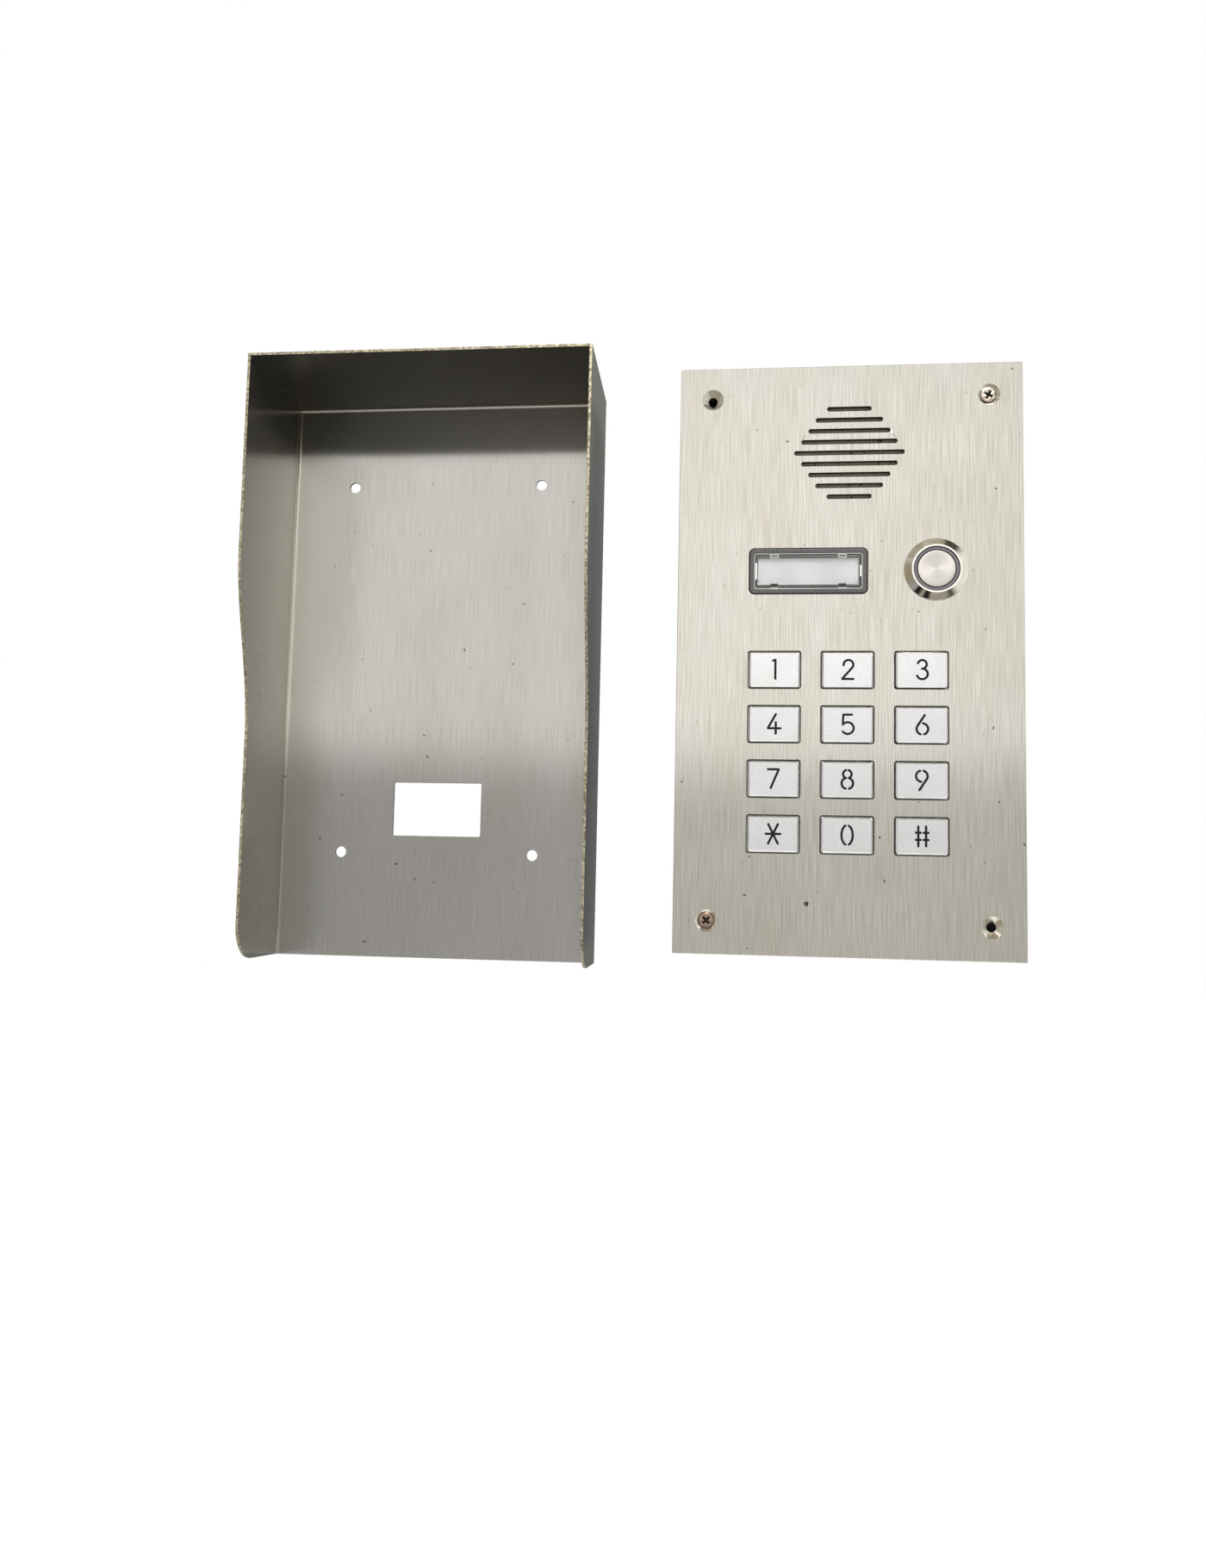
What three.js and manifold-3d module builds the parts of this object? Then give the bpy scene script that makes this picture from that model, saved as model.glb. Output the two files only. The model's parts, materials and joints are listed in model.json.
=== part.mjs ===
// Door intercom panel with its rain hood, in millimetres, +Z up.
// Both hang on a wall in the plane y = 0 and face -Y: the panel unit, and to its left the empty
// rain hood.
// The origin is the centre of the panel unit's back, on the wall.
import * as THREE from "three";
import { mergeVertices } from "three/addons/utils/BufferGeometryUtils.js";
import Module from "manifold-3d";

const wasm = await Module();
wasm.setup();

// ---- Driving dimensions ----

const GAP = 0.3; // clearance between neighbouring pieces
const OVERRUN = 1; // how far a cutting tool reaches past the material

const PANEL_WIDTH = 120;
const PANEL_HEIGHT = 210;
const PANEL_THICKNESS = 2;
const PANEL_CORNER = 0.5;
const UNIT_DEPTH = 31; // panel face to the back of the box

const HOOD_WIDTH = 125;
const HOOD_HEIGHT = 218;
const HOOD_DEPTH = 50.5; // at the top
const HOOD_LOW_DEPTH = 38.1; // below the curved step of the side walls
const HOOD_SHEET = 1;
const HOOD_DROP = 6.5; // the hood's lower edge hangs this far below the unit's
const SET_SPACING = 30.4; // free space between hood and panel

// Speaker slots: one length for each slot, from the top down.
const SLOT_LENGTHS = [15.5, 23.5, 28.5, 33.5, 38.5, 33.5, 28.5, 23.5, 15.5];
const SLOT_PITCH = 4;
const SLOT_HEIGHT = 1.6;
const SPEAKER = { x: 0, z: 178.2 };

const WINDOW = { x: -14.1, z: 135.3, width: 41.4, height: 16.5, corner: 2 };
const CARD = { width: 36.2, height: 9.8, thickness: 0.4 };

const BUTTON = { x: 30.1, z: 135.6, bezel: 11, lip: 8.6, bore: 7.95, barrel: 9.5, cap: 6.5 };
const BUTTON_PROUD = 1.5;
const BUTTON_TRAVEL = 1.5;

const KEY_NAMES = [
  ["1", "2", "3"],
  ["4", "5", "6"],
  ["7", "8", "9"],
  ["star", "0", "hash"],
];
const KEYPAD = { x: -0.3, z: 71 };
const KEY_PITCH = { x: 25.3, z: 19.27 };
const KEY_OPENING = { width: 18.4, height: 13.3, corner: 0.8 };
const KEY_CLEARANCE = 0.4;
const KEY_PROUD = 1;

const MIC = { x: -14, z: 18.2, hole: 0.75 }; // the hole's radius

const SCREW_INSET = 11.6; // corner screw centre to the panel's edges
const COUNTERSINK = { mouth: 3.7, hole: 1.65 };
const SCREW = { head: 2.75, shank: 1.45, sunk: 0.5, land: 0.15, end: 14 };

const BOX_SIDE_INSET = 0.6; // box side to panel edge
const BOX_WALL = 2.5;
const BOX_FRONT = 3.9; // depth of the box rim behind the panel face
const BOSS_RADIUS = 4.5;
const INSERT = { outer: 2.5, inner: 1.75, front: 2.4, end: 10.4 };

// The wall side, with heights above the unit's lower edge. Box and hood share this pattern.
const WALL_HOLES = { spacingX: 75.2, spacingZ: 145, z: 106, radius: 2.1 };
const CABLE_ENTRY = { z: 50.5, width: 34.4, height: 20.6, corner: 0.6 };

const MAIN_BOARD = { front: 16.2, thickness: 1.6, width: 100, low: 20, high: 120 };

// ---- Places worked out from the dimensions ----

const HOOD_X = -(PANEL_WIDTH / 2 + SET_SPACING + HOOD_WIDTH / 2);
const UNIT_FOOT_Z = -PANEL_HEIGHT / 2;
const BEHIND_PANEL = PANEL_THICKNESS + GAP;

const SCREW_X = PANEL_WIDTH / 2 - SCREW_INSET;
const SCREW_LOW = SCREW_INSET;
const SCREW_HIGH = PANEL_HEIGHT - SCREW_INSET;
const CORNERS = {
  top_left: { x: -SCREW_X, z: SCREW_HIGH },
  top_right: { x: SCREW_X, z: SCREW_HIGH },
  bottom_left: { x: -SCREW_X, z: SCREW_LOW },
  bottom_right: { x: SCREW_X, z: SCREW_LOW },
};

// ---- Materials ----

const metal = (color, roughness) => new THREE.MeshStandardMaterial({ color, roughness, metalness: 1 });
const plastic = (color, roughness) => new THREE.MeshStandardMaterial({ color, roughness, metalness: 0 });

const BRUSHED_STEEL = metal(0xd2cec5, 0.38);
const KEY_METAL = metal(0xdedcd8, 0.3);
const POLISHED_STEEL = metal(0xd9d3c8, 0.12);
const PLAIN_STEEL = metal(0xa9a8a4, 0.4);
const BRASS = metal(0xb5924f, 0.35);
const BOX_PAINT = new THREE.MeshStandardMaterial({ color: 0x9a9c9b, roughness: 0.55, metalness: 0.2 });
const BLACK_PLASTIC = plastic(0x1b1c1e, 0.5);
const CLEAR_PLASTIC = new THREE.MeshStandardMaterial({
  color: 0xb9bec2,
  roughness: 0.1,
  metalness: 0,
  transparent: true,
  opacity: 0.4,
});
const WHITE_CARD = plastic(0xdcdee0, 0.8);
const RING_PLASTIC = plastic(0x8f8f97, 0.35);
const RUBBER = plastic(0x2c2c2d, 0.85);
const SILICONE = plastic(0xc7c9c6, 0.7);
const BOARD_GREEN = plastic(0x1f5a3a, 0.45);
const TERMINAL_GREEN = plastic(0x3b8f4f, 0.45);
const MESH_GREY = plastic(0xb4b0a8, 0.8);
const CONE_PAPER = plastic(0x2a2723, 0.9);

// ---- Geometry helpers ----

// Shapes are drawn in the X-Z plane, and y grows from the panel's face towards the wall.
function rectangle(width, height, corner, x = 0, z = 0, outline = new THREE.Shape()) {
  const left = x - width / 2;
  const right = x + width / 2;
  const low = z - height / 2;
  const high = z + height / 2;
  const quarter = Math.PI / 2;
  const round = (arcX, arcZ, start) => outline.absarc(arcX, arcZ, corner, start, start + quarter, false);
  outline.moveTo(left + corner, low);
  outline.lineTo(right - corner, low);
  round(right - corner, low + corner, -quarter);
  outline.lineTo(right, high - corner);
  round(right - corner, high - corner, 0);
  outline.lineTo(left + corner, high);
  round(left + corner, high - corner, quarter);
  outline.lineTo(left, low + corner);
  round(left + corner, low + corner, 2 * quarter);
  outline.closePath();
  return outline;
}

function opening(width, height, corner, x, z) {
  return rectangle(width, height, corner, x, z, new THREE.Path());
}

// The four corners of a rectangle, given its centre and half its sides.
function rectanglePlaces(centre, halfWidth, halfHeight) {
  const signs = [-1, 1];
  return signs.flatMap((side) =>
    signs.map((level) => ({ x: centre.x + side * halfWidth, z: centre.z + level * halfHeight })),
  );
}

function roundOpening(radius, x, z) {
  const outline = new THREE.Path();
  outline.absarc(x, z, radius, 0, 2 * Math.PI, false);
  return outline;
}

// A flat piece of the given outline, from depth near to depth far.
function plate(shape, near, far, curveSegments = 4) {
  const settings = { depth: far - near, bevelEnabled: false, curveSegments };
  const geometry = new THREE.ExtrudeGeometry(shape, settings);
  return geometry.rotateX(Math.PI / 2).translate(0, far, 0);
}

function block(width, depth, height, x, near, z) {
  return new THREE.BoxGeometry(width, depth, height).translate(x, near + depth / 2, z);
}

function rod(radius, near, far, x, z, segments = 16) {
  const geometry = new THREE.CylinderGeometry(radius, radius, far - near, segments);
  return geometry.translate(x, (near + far) / 2, z);
}

// A solid of revolution about the Y axis through x, z. The profile lists [radius, depth] pairs,
// anticlockwise round the material when radius runs right and depth runs up.
function turned(profile, x, z, segments = 32) {
  const points = profile.map(([radius, depth]) => new THREE.Vector2(radius, depth));
  return new THREE.LatheGeometry(points, segments).translate(x, 0, z);
}

// A closed ring profile: it ends where it starts.
function ring(inner, outer, near, far, x, z, segments = 32) {
  const profile = [
    [inner, near],
    [outer, near],
    [outer, far],
    [inner, far],
    [inner, near],
  ];
  return turned(profile, x, z, segments);
}

function toSolid(geometry) {
  const bare = geometry.clone();
  bare.deleteAttribute("normal");
  bare.deleteAttribute("uv");
  const merged = mergeVertices(bare);
  const mesh = new wasm.Mesh({
    numProp: 3,
    vertProperties: merged.getAttribute("position").array,
    triVerts: new Uint32Array(merged.index.array),
  });
  return new wasm.Manifold(mesh);
}

function toGeometry(solid) {
  const { vertProperties, triVerts } = solid.getMesh();
  const geometry = new THREE.BufferGeometry();
  geometry.setAttribute("position", new THREE.BufferAttribute(new Float32Array(vertProperties), 3));
  geometry.setIndex(new THREE.BufferAttribute(new Uint32Array(triVerts), 1));
  geometry.computeVertexNormals();
  return geometry;
}

function cut(base, ...tools) {
  return toGeometry(tools.reduce((solid, tool) => solid.subtract(toSolid(tool)), toSolid(base)));
}

function join(base, ...others) {
  return toGeometry(others.reduce((solid, other) => solid.add(toSolid(other)), toSolid(base)));
}

function common(first, second) {
  return toGeometry(toSolid(first).intersect(toSolid(second)));
}

function add(group, name, geometry, material) {
  const mesh = new THREE.Mesh(geometry, material);
  mesh.name = name;
  group.add(mesh);
}

// ---- Rain hood: one folded sheet, open at the front and at the bottom ----

// Its own frame has y = 0 on the wall side and the front at negative y.
const HOOD_BEND = 2; // outer radius of the folds
const HOOD_FOOT_CORNER = 13; // rounded lower front corner of each side wall
const HOOD_STEP = { top: 144, upperPull: 124, lowerPull: 104, bottom: 82, nearTop: 0.3, nearLow: 0.2 };

function hoodSideProfile(inset) {
  const back = -inset;
  const roof = HOOD_HEIGHT - inset;
  const bend = HOOD_BEND - inset;
  const front = -HOOD_DEPTH;
  const lowFront = -HOOD_LOW_DEPTH;
  const profile = new THREE.Shape();
  profile.moveTo(back, 0);
  profile.lineTo(back, roof - bend);
  profile.absarc(back - bend, roof - bend, bend, 0, Math.PI / 2, false);
  profile.lineTo(front, roof);
  profile.lineTo(front, HOOD_STEP.top);
  profile.bezierCurveTo(
    front + HOOD_STEP.nearTop,
    HOOD_STEP.upperPull,
    lowFront - HOOD_STEP.nearLow,
    HOOD_STEP.lowerPull,
    lowFront,
    HOOD_STEP.bottom,
  );
  profile.lineTo(lowFront, HOOD_FOOT_CORNER);
  const cornerY = lowFront + HOOD_FOOT_CORNER;
  profile.absarc(cornerY, HOOD_FOOT_CORNER, HOOD_FOOT_CORNER, Math.PI, 1.5 * Math.PI, false);
  profile.closePath();
  return profile;
}

// The inside of the fold seen from the side: a box that runs out of the front and the bottom.
function hoodHollowProfile(inset) {
  const back = -inset;
  const roof = HOOD_HEIGHT - inset;
  const bend = HOOD_BEND - inset;
  const profile = new THREE.Shape();
  profile.moveTo(back, -OVERRUN);
  profile.lineTo(back, roof - bend);
  profile.absarc(back - bend, roof - bend, bend, 0, Math.PI / 2, false);
  profile.lineTo(-HOOD_DEPTH - OVERRUN, roof);
  profile.lineTo(-HOOD_DEPTH - OVERRUN, -OVERRUN);
  profile.closePath();
  return profile;
}

// A plan outline with its two back corners rounded by the fold.
function hoodPlan(inset) {
  const half = HOOD_WIDTH / 2 - inset;
  const back = -inset;
  const bend = HOOD_BEND - inset;
  const front = -HOOD_DEPTH - OVERRUN;
  const plan = new THREE.Shape();
  plan.moveTo(-half, front);
  plan.lineTo(half, front);
  plan.lineTo(half, back - bend);
  plan.absarc(half - bend, back - bend, bend, 0, Math.PI / 2, false);
  plan.lineTo(-half + bend, back);
  plan.absarc(-half + bend, back - bend, bend, Math.PI / 2, Math.PI, false);
  plan.closePath();
  return plan;
}

// Extrudes a side profile (y, z) across the width.
function acrossWidth(profile, width) {
  const settings = { depth: width, bevelEnabled: false, curveSegments: 10 };
  const geometry = new THREE.ExtrudeGeometry(profile, settings);
  const sideways = new THREE.Matrix4().makeBasis(
    new THREE.Vector3(0, 1, 0),
    new THREE.Vector3(0, 0, 1),
    new THREE.Vector3(1, 0, 0),
  );
  return geometry.applyMatrix4(sideways).translate(-width / 2, 0, 0);
}

// Extrudes a plan outline (x, y) upwards.
function upwards(plan, low, high) {
  const settings = { depth: high - low, bevelEnabled: false, curveSegments: 4 };
  const geometry = new THREE.ExtrudeGeometry(plan, settings);
  return geometry.translate(0, 0, low);
}

function makeRainHood() {
  const outside = common(
    acrossWidth(hoodSideProfile(0), HOOD_WIDTH + OVERRUN),
    upwards(hoodPlan(0), -OVERRUN, HOOD_HEIGHT + OVERRUN),
  );
  const inside = common(
    acrossWidth(hoodHollowProfile(HOOD_SHEET), HOOD_WIDTH),
    upwards(hoodPlan(HOOD_SHEET), -OVERRUN, HOOD_HEIGHT),
  );
  const drillNear = -HOOD_SHEET - OVERRUN;
  const wallHoles = wallHolePlaces(HOOD_DROP).map(({ x, z }) =>
    rod(WALL_HOLES.radius, drillNear, OVERRUN, x, z, 16),
  );
  const { z, width, height, corner } = CABLE_ENTRY;
  const cableCutOut = plate(rectangle(width, height, corner, 0, z + HOOD_DROP), drillNear, OVERRUN);
  return cut(outside, inside, cableCutOut, ...wallHoles);
}

// Heights are above an edge that hangs lower than the unit's by the given drop.
function wallHolePlaces(drop) {
  const { spacingX, spacingZ, z } = WALL_HOLES;
  return rectanglePlaces({ x: 0, z: z + drop }, spacingX / 2, spacingZ / 2);
}

// ---- Front panel ----

const STUD_RADIUS = 1.25;
const KEYPAD_STUD_END = 13;
const SPEAKER_STUD_END = 21.5;
const KEYPAD_STUDS = { x: 41, z: 42 };
const SPEAKER_STUD_X = 30;

function keyPlaces() {
  const columns = KEY_NAMES[0].length;
  const rows = KEY_NAMES.length;
  return KEY_NAMES.flatMap((row, rowIndex) =>
    row.map((name, columnIndex) => ({
      name,
      x: KEYPAD.x + (columnIndex - (columns - 1) / 2) * KEY_PITCH.x,
      z: KEYPAD.z + ((rows - 1) / 2 - rowIndex) * KEY_PITCH.z,
    })),
  );
}

const KEYPAD_STUD_PLACES = rectanglePlaces(KEYPAD, KEYPAD_STUDS.x, KEYPAD_STUDS.z);
const SPEAKER_STUD_PLACES = [-SPEAKER_STUD_X, SPEAKER_STUD_X].map((dx) => ({
  x: SPEAKER.x + dx,
  z: SPEAKER.z,
}));

function makeFrontPanel() {
  const outline = rectangle(PANEL_WIDTH, PANEL_HEIGHT, PANEL_CORNER, 0, PANEL_HEIGHT / 2);
  const middle = (SLOT_LENGTHS.length - 1) / 2;
  SLOT_LENGTHS.forEach((length, index) => {
    const z = SPEAKER.z + (middle - index) * SLOT_PITCH;
    outline.holes.push(opening(length, SLOT_HEIGHT, SLOT_HEIGHT / 2, SPEAKER.x, z));
  });
  outline.holes.push(opening(WINDOW.width, WINDOW.height, WINDOW.corner, WINDOW.x, WINDOW.z));
  for (const { x, z } of keyPlaces()) {
    outline.holes.push(opening(KEY_OPENING.width, KEY_OPENING.height, KEY_OPENING.corner, x, z));
  }
  const sheet = plate(outline, 0, PANEL_THICKNESS, 2);

  const countersinkProfile = [
    [0, -OVERRUN],
    [COUNTERSINK.mouth + OVERRUN, -OVERRUN],
    [COUNTERSINK.hole, COUNTERSINK.mouth - COUNTERSINK.hole],
    [COUNTERSINK.hole, PANEL_THICKNESS + OVERRUN],
    [0, PANEL_THICKNESS + OVERRUN],
  ];
  const countersinks = Object.values(CORNERS).map(({ x, z }) => turned(countersinkProfile, x, z, 28));
  const drillEnd = PANEL_THICKNESS + OVERRUN;
  const buttonHole = rod(BUTTON.barrel + GAP, -OVERRUN, drillEnd, BUTTON.x, BUTTON.z, 40);
  const micHole = rod(MIC.hole, -OVERRUN, drillEnd, MIC.x, MIC.z, 16);
  const drilled = cut(sheet, buttonHole, micHole, ...countersinks);

  const stud = (end) => (place) => rod(STUD_RADIUS, PANEL_THICKNESS / 2, end, place.x, place.z, 12);
  const keypadStuds = KEYPAD_STUD_PLACES.map(stud(KEYPAD_STUD_END));
  const speakerStuds = SPEAKER_STUD_PLACES.map(stud(SPEAKER_STUD_END));
  return join(drilled, ...keypadStuds, ...speakerStuds);
}

// ---- Corner fixing ----

function makeCornerScrew({ x, z }) {
  const headEnd = SCREW.sunk + SCREW.land + SCREW.head - SCREW.shank;
  const profile = [
    [0, SCREW.sunk],
    [SCREW.head, SCREW.sunk],
    [SCREW.head, SCREW.sunk + SCREW.land],
    [SCREW.shank, headEnd],
    [SCREW.shank, SCREW.end - SCREW.shank / 2],
    [SCREW.shank / 2, SCREW.end],
    [0, SCREW.end],
  ];
  const crossWidth = 0.9;
  const crossLength = 3.3;
  const crossDepth = 1.3;
  const near = SCREW.sunk - OVERRUN;
  const depth = crossDepth + OVERRUN;
  return cut(
    turned(profile, x, z, 24),
    block(crossLength, depth, crossWidth, x, near, z),
    block(crossWidth, depth, crossLength, x, near, z),
  );
}

function makeThreadedInsert({ x, z }) {
  return ring(INSERT.inner, INSERT.outer, INSERT.front, INSERT.end, x, z, 20);
}

// ---- Back box ----

const BOX_WIDTH = PANEL_WIDTH - 2 * BOX_SIDE_INSET;
const BOX_HEIGHT = PANEL_HEIGHT - BOX_SIDE_INSET;
const BOX_FLOOR = UNIT_DEPTH - BOX_WALL; // front of the back wall
const BOX_CORNER = 2.5;

function makeBackBox() {
  const middle = BOX_HEIGHT / 2;
  const outer = plate(rectangle(BOX_WIDTH, BOX_HEIGHT, BOX_CORNER, 0, middle), BOX_FRONT, UNIT_DEPTH);
  const hollow = plate(
    rectangle(BOX_WIDTH - 2 * BOX_WALL, BOX_HEIGHT - 2 * BOX_WALL, 1, 0, middle),
    BOX_FRONT - OVERRUN,
    BOX_FLOOR,
  );
  const { z, width, height, corner } = CABLE_ENTRY;
  const drillNear = BOX_FLOOR - OVERRUN;
  const drillEnd = UNIT_DEPTH + OVERRUN;
  const cableEntry = plate(rectangle(width, height, corner, 0, z), drillNear, drillEnd);
  const wallHoles = wallHolePlaces(0).map((place) =>
    rod(WALL_HOLES.radius, drillNear, drillEnd, place.x, place.z, 12),
  );
  const shell = cut(outer, hollow, cableEntry, ...wallHoles);

  const corners = Object.values(CORNERS);
  const rootedIn = BOX_FLOOR + GAP;
  const bosses = corners.map((place) => rod(BOSS_RADIUS, BEHIND_PANEL, rootedIn, place.x, place.z, 16));
  const ribWidth = 2;
  const ribNear = BOX_FRONT + 4;
  const ribs = corners.map((place) => {
    const reach = BOX_WIDTH / 2 - BOX_WALL / 2 - Math.abs(place.x);
    const x = place.x + (Math.sign(place.x) * reach) / 2;
    return block(reach, rootedIn - ribNear, ribWidth, x, ribNear, place.z);
  });
  const boreNear = BEHIND_PANEL - OVERRUN;
  const boreEnd = SCREW.end + 2;
  const bores = corners.map((place) => rod(INSERT.outer + GAP, boreNear, boreEnd, place.x, place.z, 16));
  return cut(join(shell, ...bosses, ...ribs), ...bores);
}

function makePanelGasket() {
  const outerInset = 1.2;
  const innerInset = 5;
  const z = PANEL_HEIGHT / 2;
  const outline = rectangle(PANEL_WIDTH - 2 * outerInset, PANEL_HEIGHT - 2 * outerInset, 2, 0, z);
  const inner = opening(PANEL_WIDTH - 2 * innerInset, PANEL_HEIGHT - 2 * innerInset, 1, 0, z);
  outline.holes.push(inner);
  return plate(outline, BEHIND_PANEL, BOX_FRONT - GAP);
}

// A moulded frame in the box's cable entry, with a flange inside and a slot for the cables.
function makeCableGrommet() {
  const { z, width, height, corner } = CABLE_ENTRY;
  const flangeReach = 2;
  const flangeThickness = 1.6;
  const slot = { width: 24, height: 10 };
  const flange = plate(
    rectangle(width + 2 * flangeReach, height + 2 * flangeReach, 2, 0, z),
    BOX_FLOOR - GAP - flangeThickness,
    BOX_FLOOR - GAP,
  );
  const sleeve = plate(
    rectangle(width - 2 * GAP, height - 2 * GAP, corner, 0, z),
    BOX_FLOOR - GAP - flangeThickness / 2,
    UNIT_DEPTH - GAP,
  );
  const passageNear = BOX_FLOOR - 2 * flangeThickness;
  const passage = plate(rectangle(slot.width, slot.height, 3, 0, z), passageNear, UNIT_DEPTH + OVERRUN);
  return cut(join(flange, sleeve), passage);
}

// ---- Speaker ----

const SPEAKER_RADIUS = 23;
const SPEAKER_RIM = 3; // width of the flat rim that the seal sits on
const DUST_SHEET = { near: BEHIND_PANEL, far: 3.1 };
const SPEAKER_SEAL = { near: 3.4, far: 5.2 };
const BASKET = { near: 5.5, rim: 6.9, waist: 10.6, far: 12, wall: 1 };
const MAGNET = { radius: 13, near: 12.3, far: 16.5, chamfer: 0.6 };
const CLAMP = { near: 16.8, thickness: 1.5, width: 10 };

function makeDustSheet() {
  return rod(SPEAKER_RADIUS, DUST_SHEET.near, DUST_SHEET.far, SPEAKER.x, SPEAKER.z, 40);
}

function makeSpeakerSeal() {
  const { near, far } = SPEAKER_SEAL;
  return ring(SPEAKER_RADIUS - SPEAKER_RIM, SPEAKER_RADIUS, near, far, SPEAKER.x, SPEAKER.z, 40);
}

function makeSpeakerBasket() {
  const { near, rim, waist, far, wall } = BASKET;
  const throat = MAGNET.radius - wall;
  const shoulder = SPEAKER_RADIUS - SPEAKER_RIM;
  const profile = [
    [shoulder, near],
    [SPEAKER_RADIUS, near],
    [SPEAKER_RADIUS, rim],
    [shoulder + wall, rim],
    [MAGNET.radius, waist],
    [MAGNET.radius, far],
    [throat, far],
    [throat, waist - wall],
    [shoulder, near],
  ];
  return turned(profile, SPEAKER.x, SPEAKER.z, 28);
}

// The diaphragm: a shallow cone with a dust cap in its middle.
function makeSpeakerCone() {
  const paper = 0.6;
  const rimRadius = SPEAKER_RADIUS - 5.2;
  const capRadius = 6;
  const rimDepth = BASKET.near + 0.2;
  const throatDepth = 8.4;
  const capTop = 7.2;
  const profile = [
    [0, capTop],
    [capRadius * 0.7, capTop + 0.5],
    [capRadius, throatDepth - paper],
    [rimRadius, rimDepth],
    [rimRadius, rimDepth + paper],
    [capRadius, throatDepth + paper],
    [0, throatDepth + paper],
  ];
  return turned(profile, SPEAKER.x, SPEAKER.z, 24);
}

function makeSpeakerMagnet() {
  const { radius, near, far, chamfer } = MAGNET;
  const profile = [
    [0, near],
    [radius - chamfer, near],
    [radius, near + chamfer],
    [radius, far - chamfer],
    [radius - chamfer, far],
    [0, far],
  ];
  return turned(profile, SPEAKER.x, SPEAKER.z, 24);
}

function makeSpeakerClamp() {
  const { near, thickness, width } = CLAMP;
  const length = 2 * SPEAKER_STUD_X + width;
  const outline = rectangle(length, width, width / 2 - 0.1, SPEAKER.x, SPEAKER.z);
  for (const { x, z } of SPEAKER_STUD_PLACES) {
    outline.holes.push(roundOpening(STUD_RADIUS + GAP, x, z));
  }
  return plate(outline, near, near + thickness, 4);
}

// ---- Name window ----

const WINDOW_PROUD = 0.3;
const WINDOW_FLANGE = { reach: 2, near: BEHIND_PANEL, far: 3.6 };
const CARD_FRONT = 1.5;

// A clear cover whose body fills the panel's opening, with a pocket for the name card behind it.
function makeNameWindow() {
  const { x, z, width, height, corner } = WINDOW;
  const bevel = 0.6;
  const bodyWidth = width - 2 * GAP;
  const bodyHeight = height - 2 * GAP;
  const inner = rectangle(bodyWidth - 2 * bevel, bodyHeight - 2 * bevel, corner - bevel, x, z);
  const bodyDepth = WINDOW_FLANGE.near + GAP + WINDOW_PROUD;
  const body = new THREE.ExtrudeGeometry(inner, {
    depth: bodyDepth - 2 * bevel,
    bevelThickness: bevel,
    bevelSize: bevel,
    bevelSegments: 2,
    curveSegments: 4,
  });
  body.rotateX(Math.PI / 2).translate(0, bodyDepth - WINDOW_PROUD - bevel, 0);
  const reach = WINDOW_FLANGE.reach;
  const flange = plate(
    rectangle(width + 2 * reach, height + 2 * reach, corner, x, z),
    WINDOW_FLANGE.near,
    WINDOW_FLANGE.far,
  );
  const pocket = plate(
    rectangle(CARD.width + 2 * GAP, CARD.height + 2 * GAP, GAP, x, z),
    CARD_FRONT - GAP,
    WINDOW_FLANGE.far + OVERRUN,
  );
  return cut(join(body, flange), pocket);
}

function makeNameCard() {
  const outline = rectangle(CARD.width, CARD.height, 0.5, WINDOW.x, WINDOW.z);
  return plate(outline, CARD_FRONT, CARD_FRONT + CARD.thickness);
}

// The holder clips behind the window, and its pad presses the card forwards.
function makeCardHolder() {
  const near = WINDOW_FLANGE.far + GAP;
  const thickness = 2.4;
  const { x, z, width, height } = WINDOW;
  const plateWidth = width + 2 * WINDOW_FLANGE.reach;
  const plateHeight = height + 2 * WINDOW_FLANGE.reach;
  const back = plate(rectangle(plateWidth, plateHeight, 1.5, x, z), near, near + thickness);
  const padOutline = rectangle(CARD.width - GAP, CARD.height - GAP, 0.5, x, z);
  const padFront = CARD_FRONT + CARD.thickness + GAP;
  const pad = plate(padOutline, padFront, near + thickness / 2);
  return join(back, pad);
}

// ---- Call button ----

const BARREL_END = 17;
const BUTTON_RING_INNER = BUTTON.cap + GAP;
const BUTTON_RING_OUTER = BUTTON.bore - 0.25;
const BUTTON_SHELF = 3.6; // where the ring sits in the barrel
const BUTTON_STEM_END = 7;

// Bezel and threaded barrel in one piece, with a shelf inside that carries the light ring.
function makeButtonHousing() {
  const { bezel, lip, bore, barrel, x, z } = BUTTON;
  const rim = 0.4;
  const seat = -GAP;
  const profile = [
    [bezel, seat],
    [barrel, seat],
    [barrel, BARREL_END],
    [bore, BARREL_END],
    [bore, BUTTON_SHELF + 1.2],
    [bore - 1, BUTTON_SHELF + 1],
    [bore - 1, BUTTON_SHELF],
    [bore, BUTTON_SHELF],
    [bore, -BUTTON_PROUD + 0.2],
    [bore + 0.15, -BUTTON_PROUD],
    [lip, -BUTTON_PROUD + 0.1],
    [bezel, seat - rim],
    [bezel, seat],
  ];
  return turned(profile, x, z, 40);
}

function makeButtonRing() {
  const top = -BUTTON_PROUD + 0.35;
  const foot = BUTTON_SHELF - GAP;
  return ring(BUTTON_RING_INNER, BUTTON_RING_OUTER, top, foot, BUTTON.x, BUTTON.z, 40);
}

function makeButtonCap() {
  const top = -BUTTON_PROUD + 0.3;
  const edge = 0.25;
  const skirt = 0.9;
  const stem = 4;
  const profile = [
    [0, top],
    [BUTTON.cap - edge, top],
    [BUTTON.cap, top + edge],
    [BUTTON.cap, skirt],
    [stem, skirt],
    [stem, BUTTON_STEM_END],
    [0, BUTTON_STEM_END],
  ];
  return turned(profile, BUTTON.x, BUTTON.z, 40);
}

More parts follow.
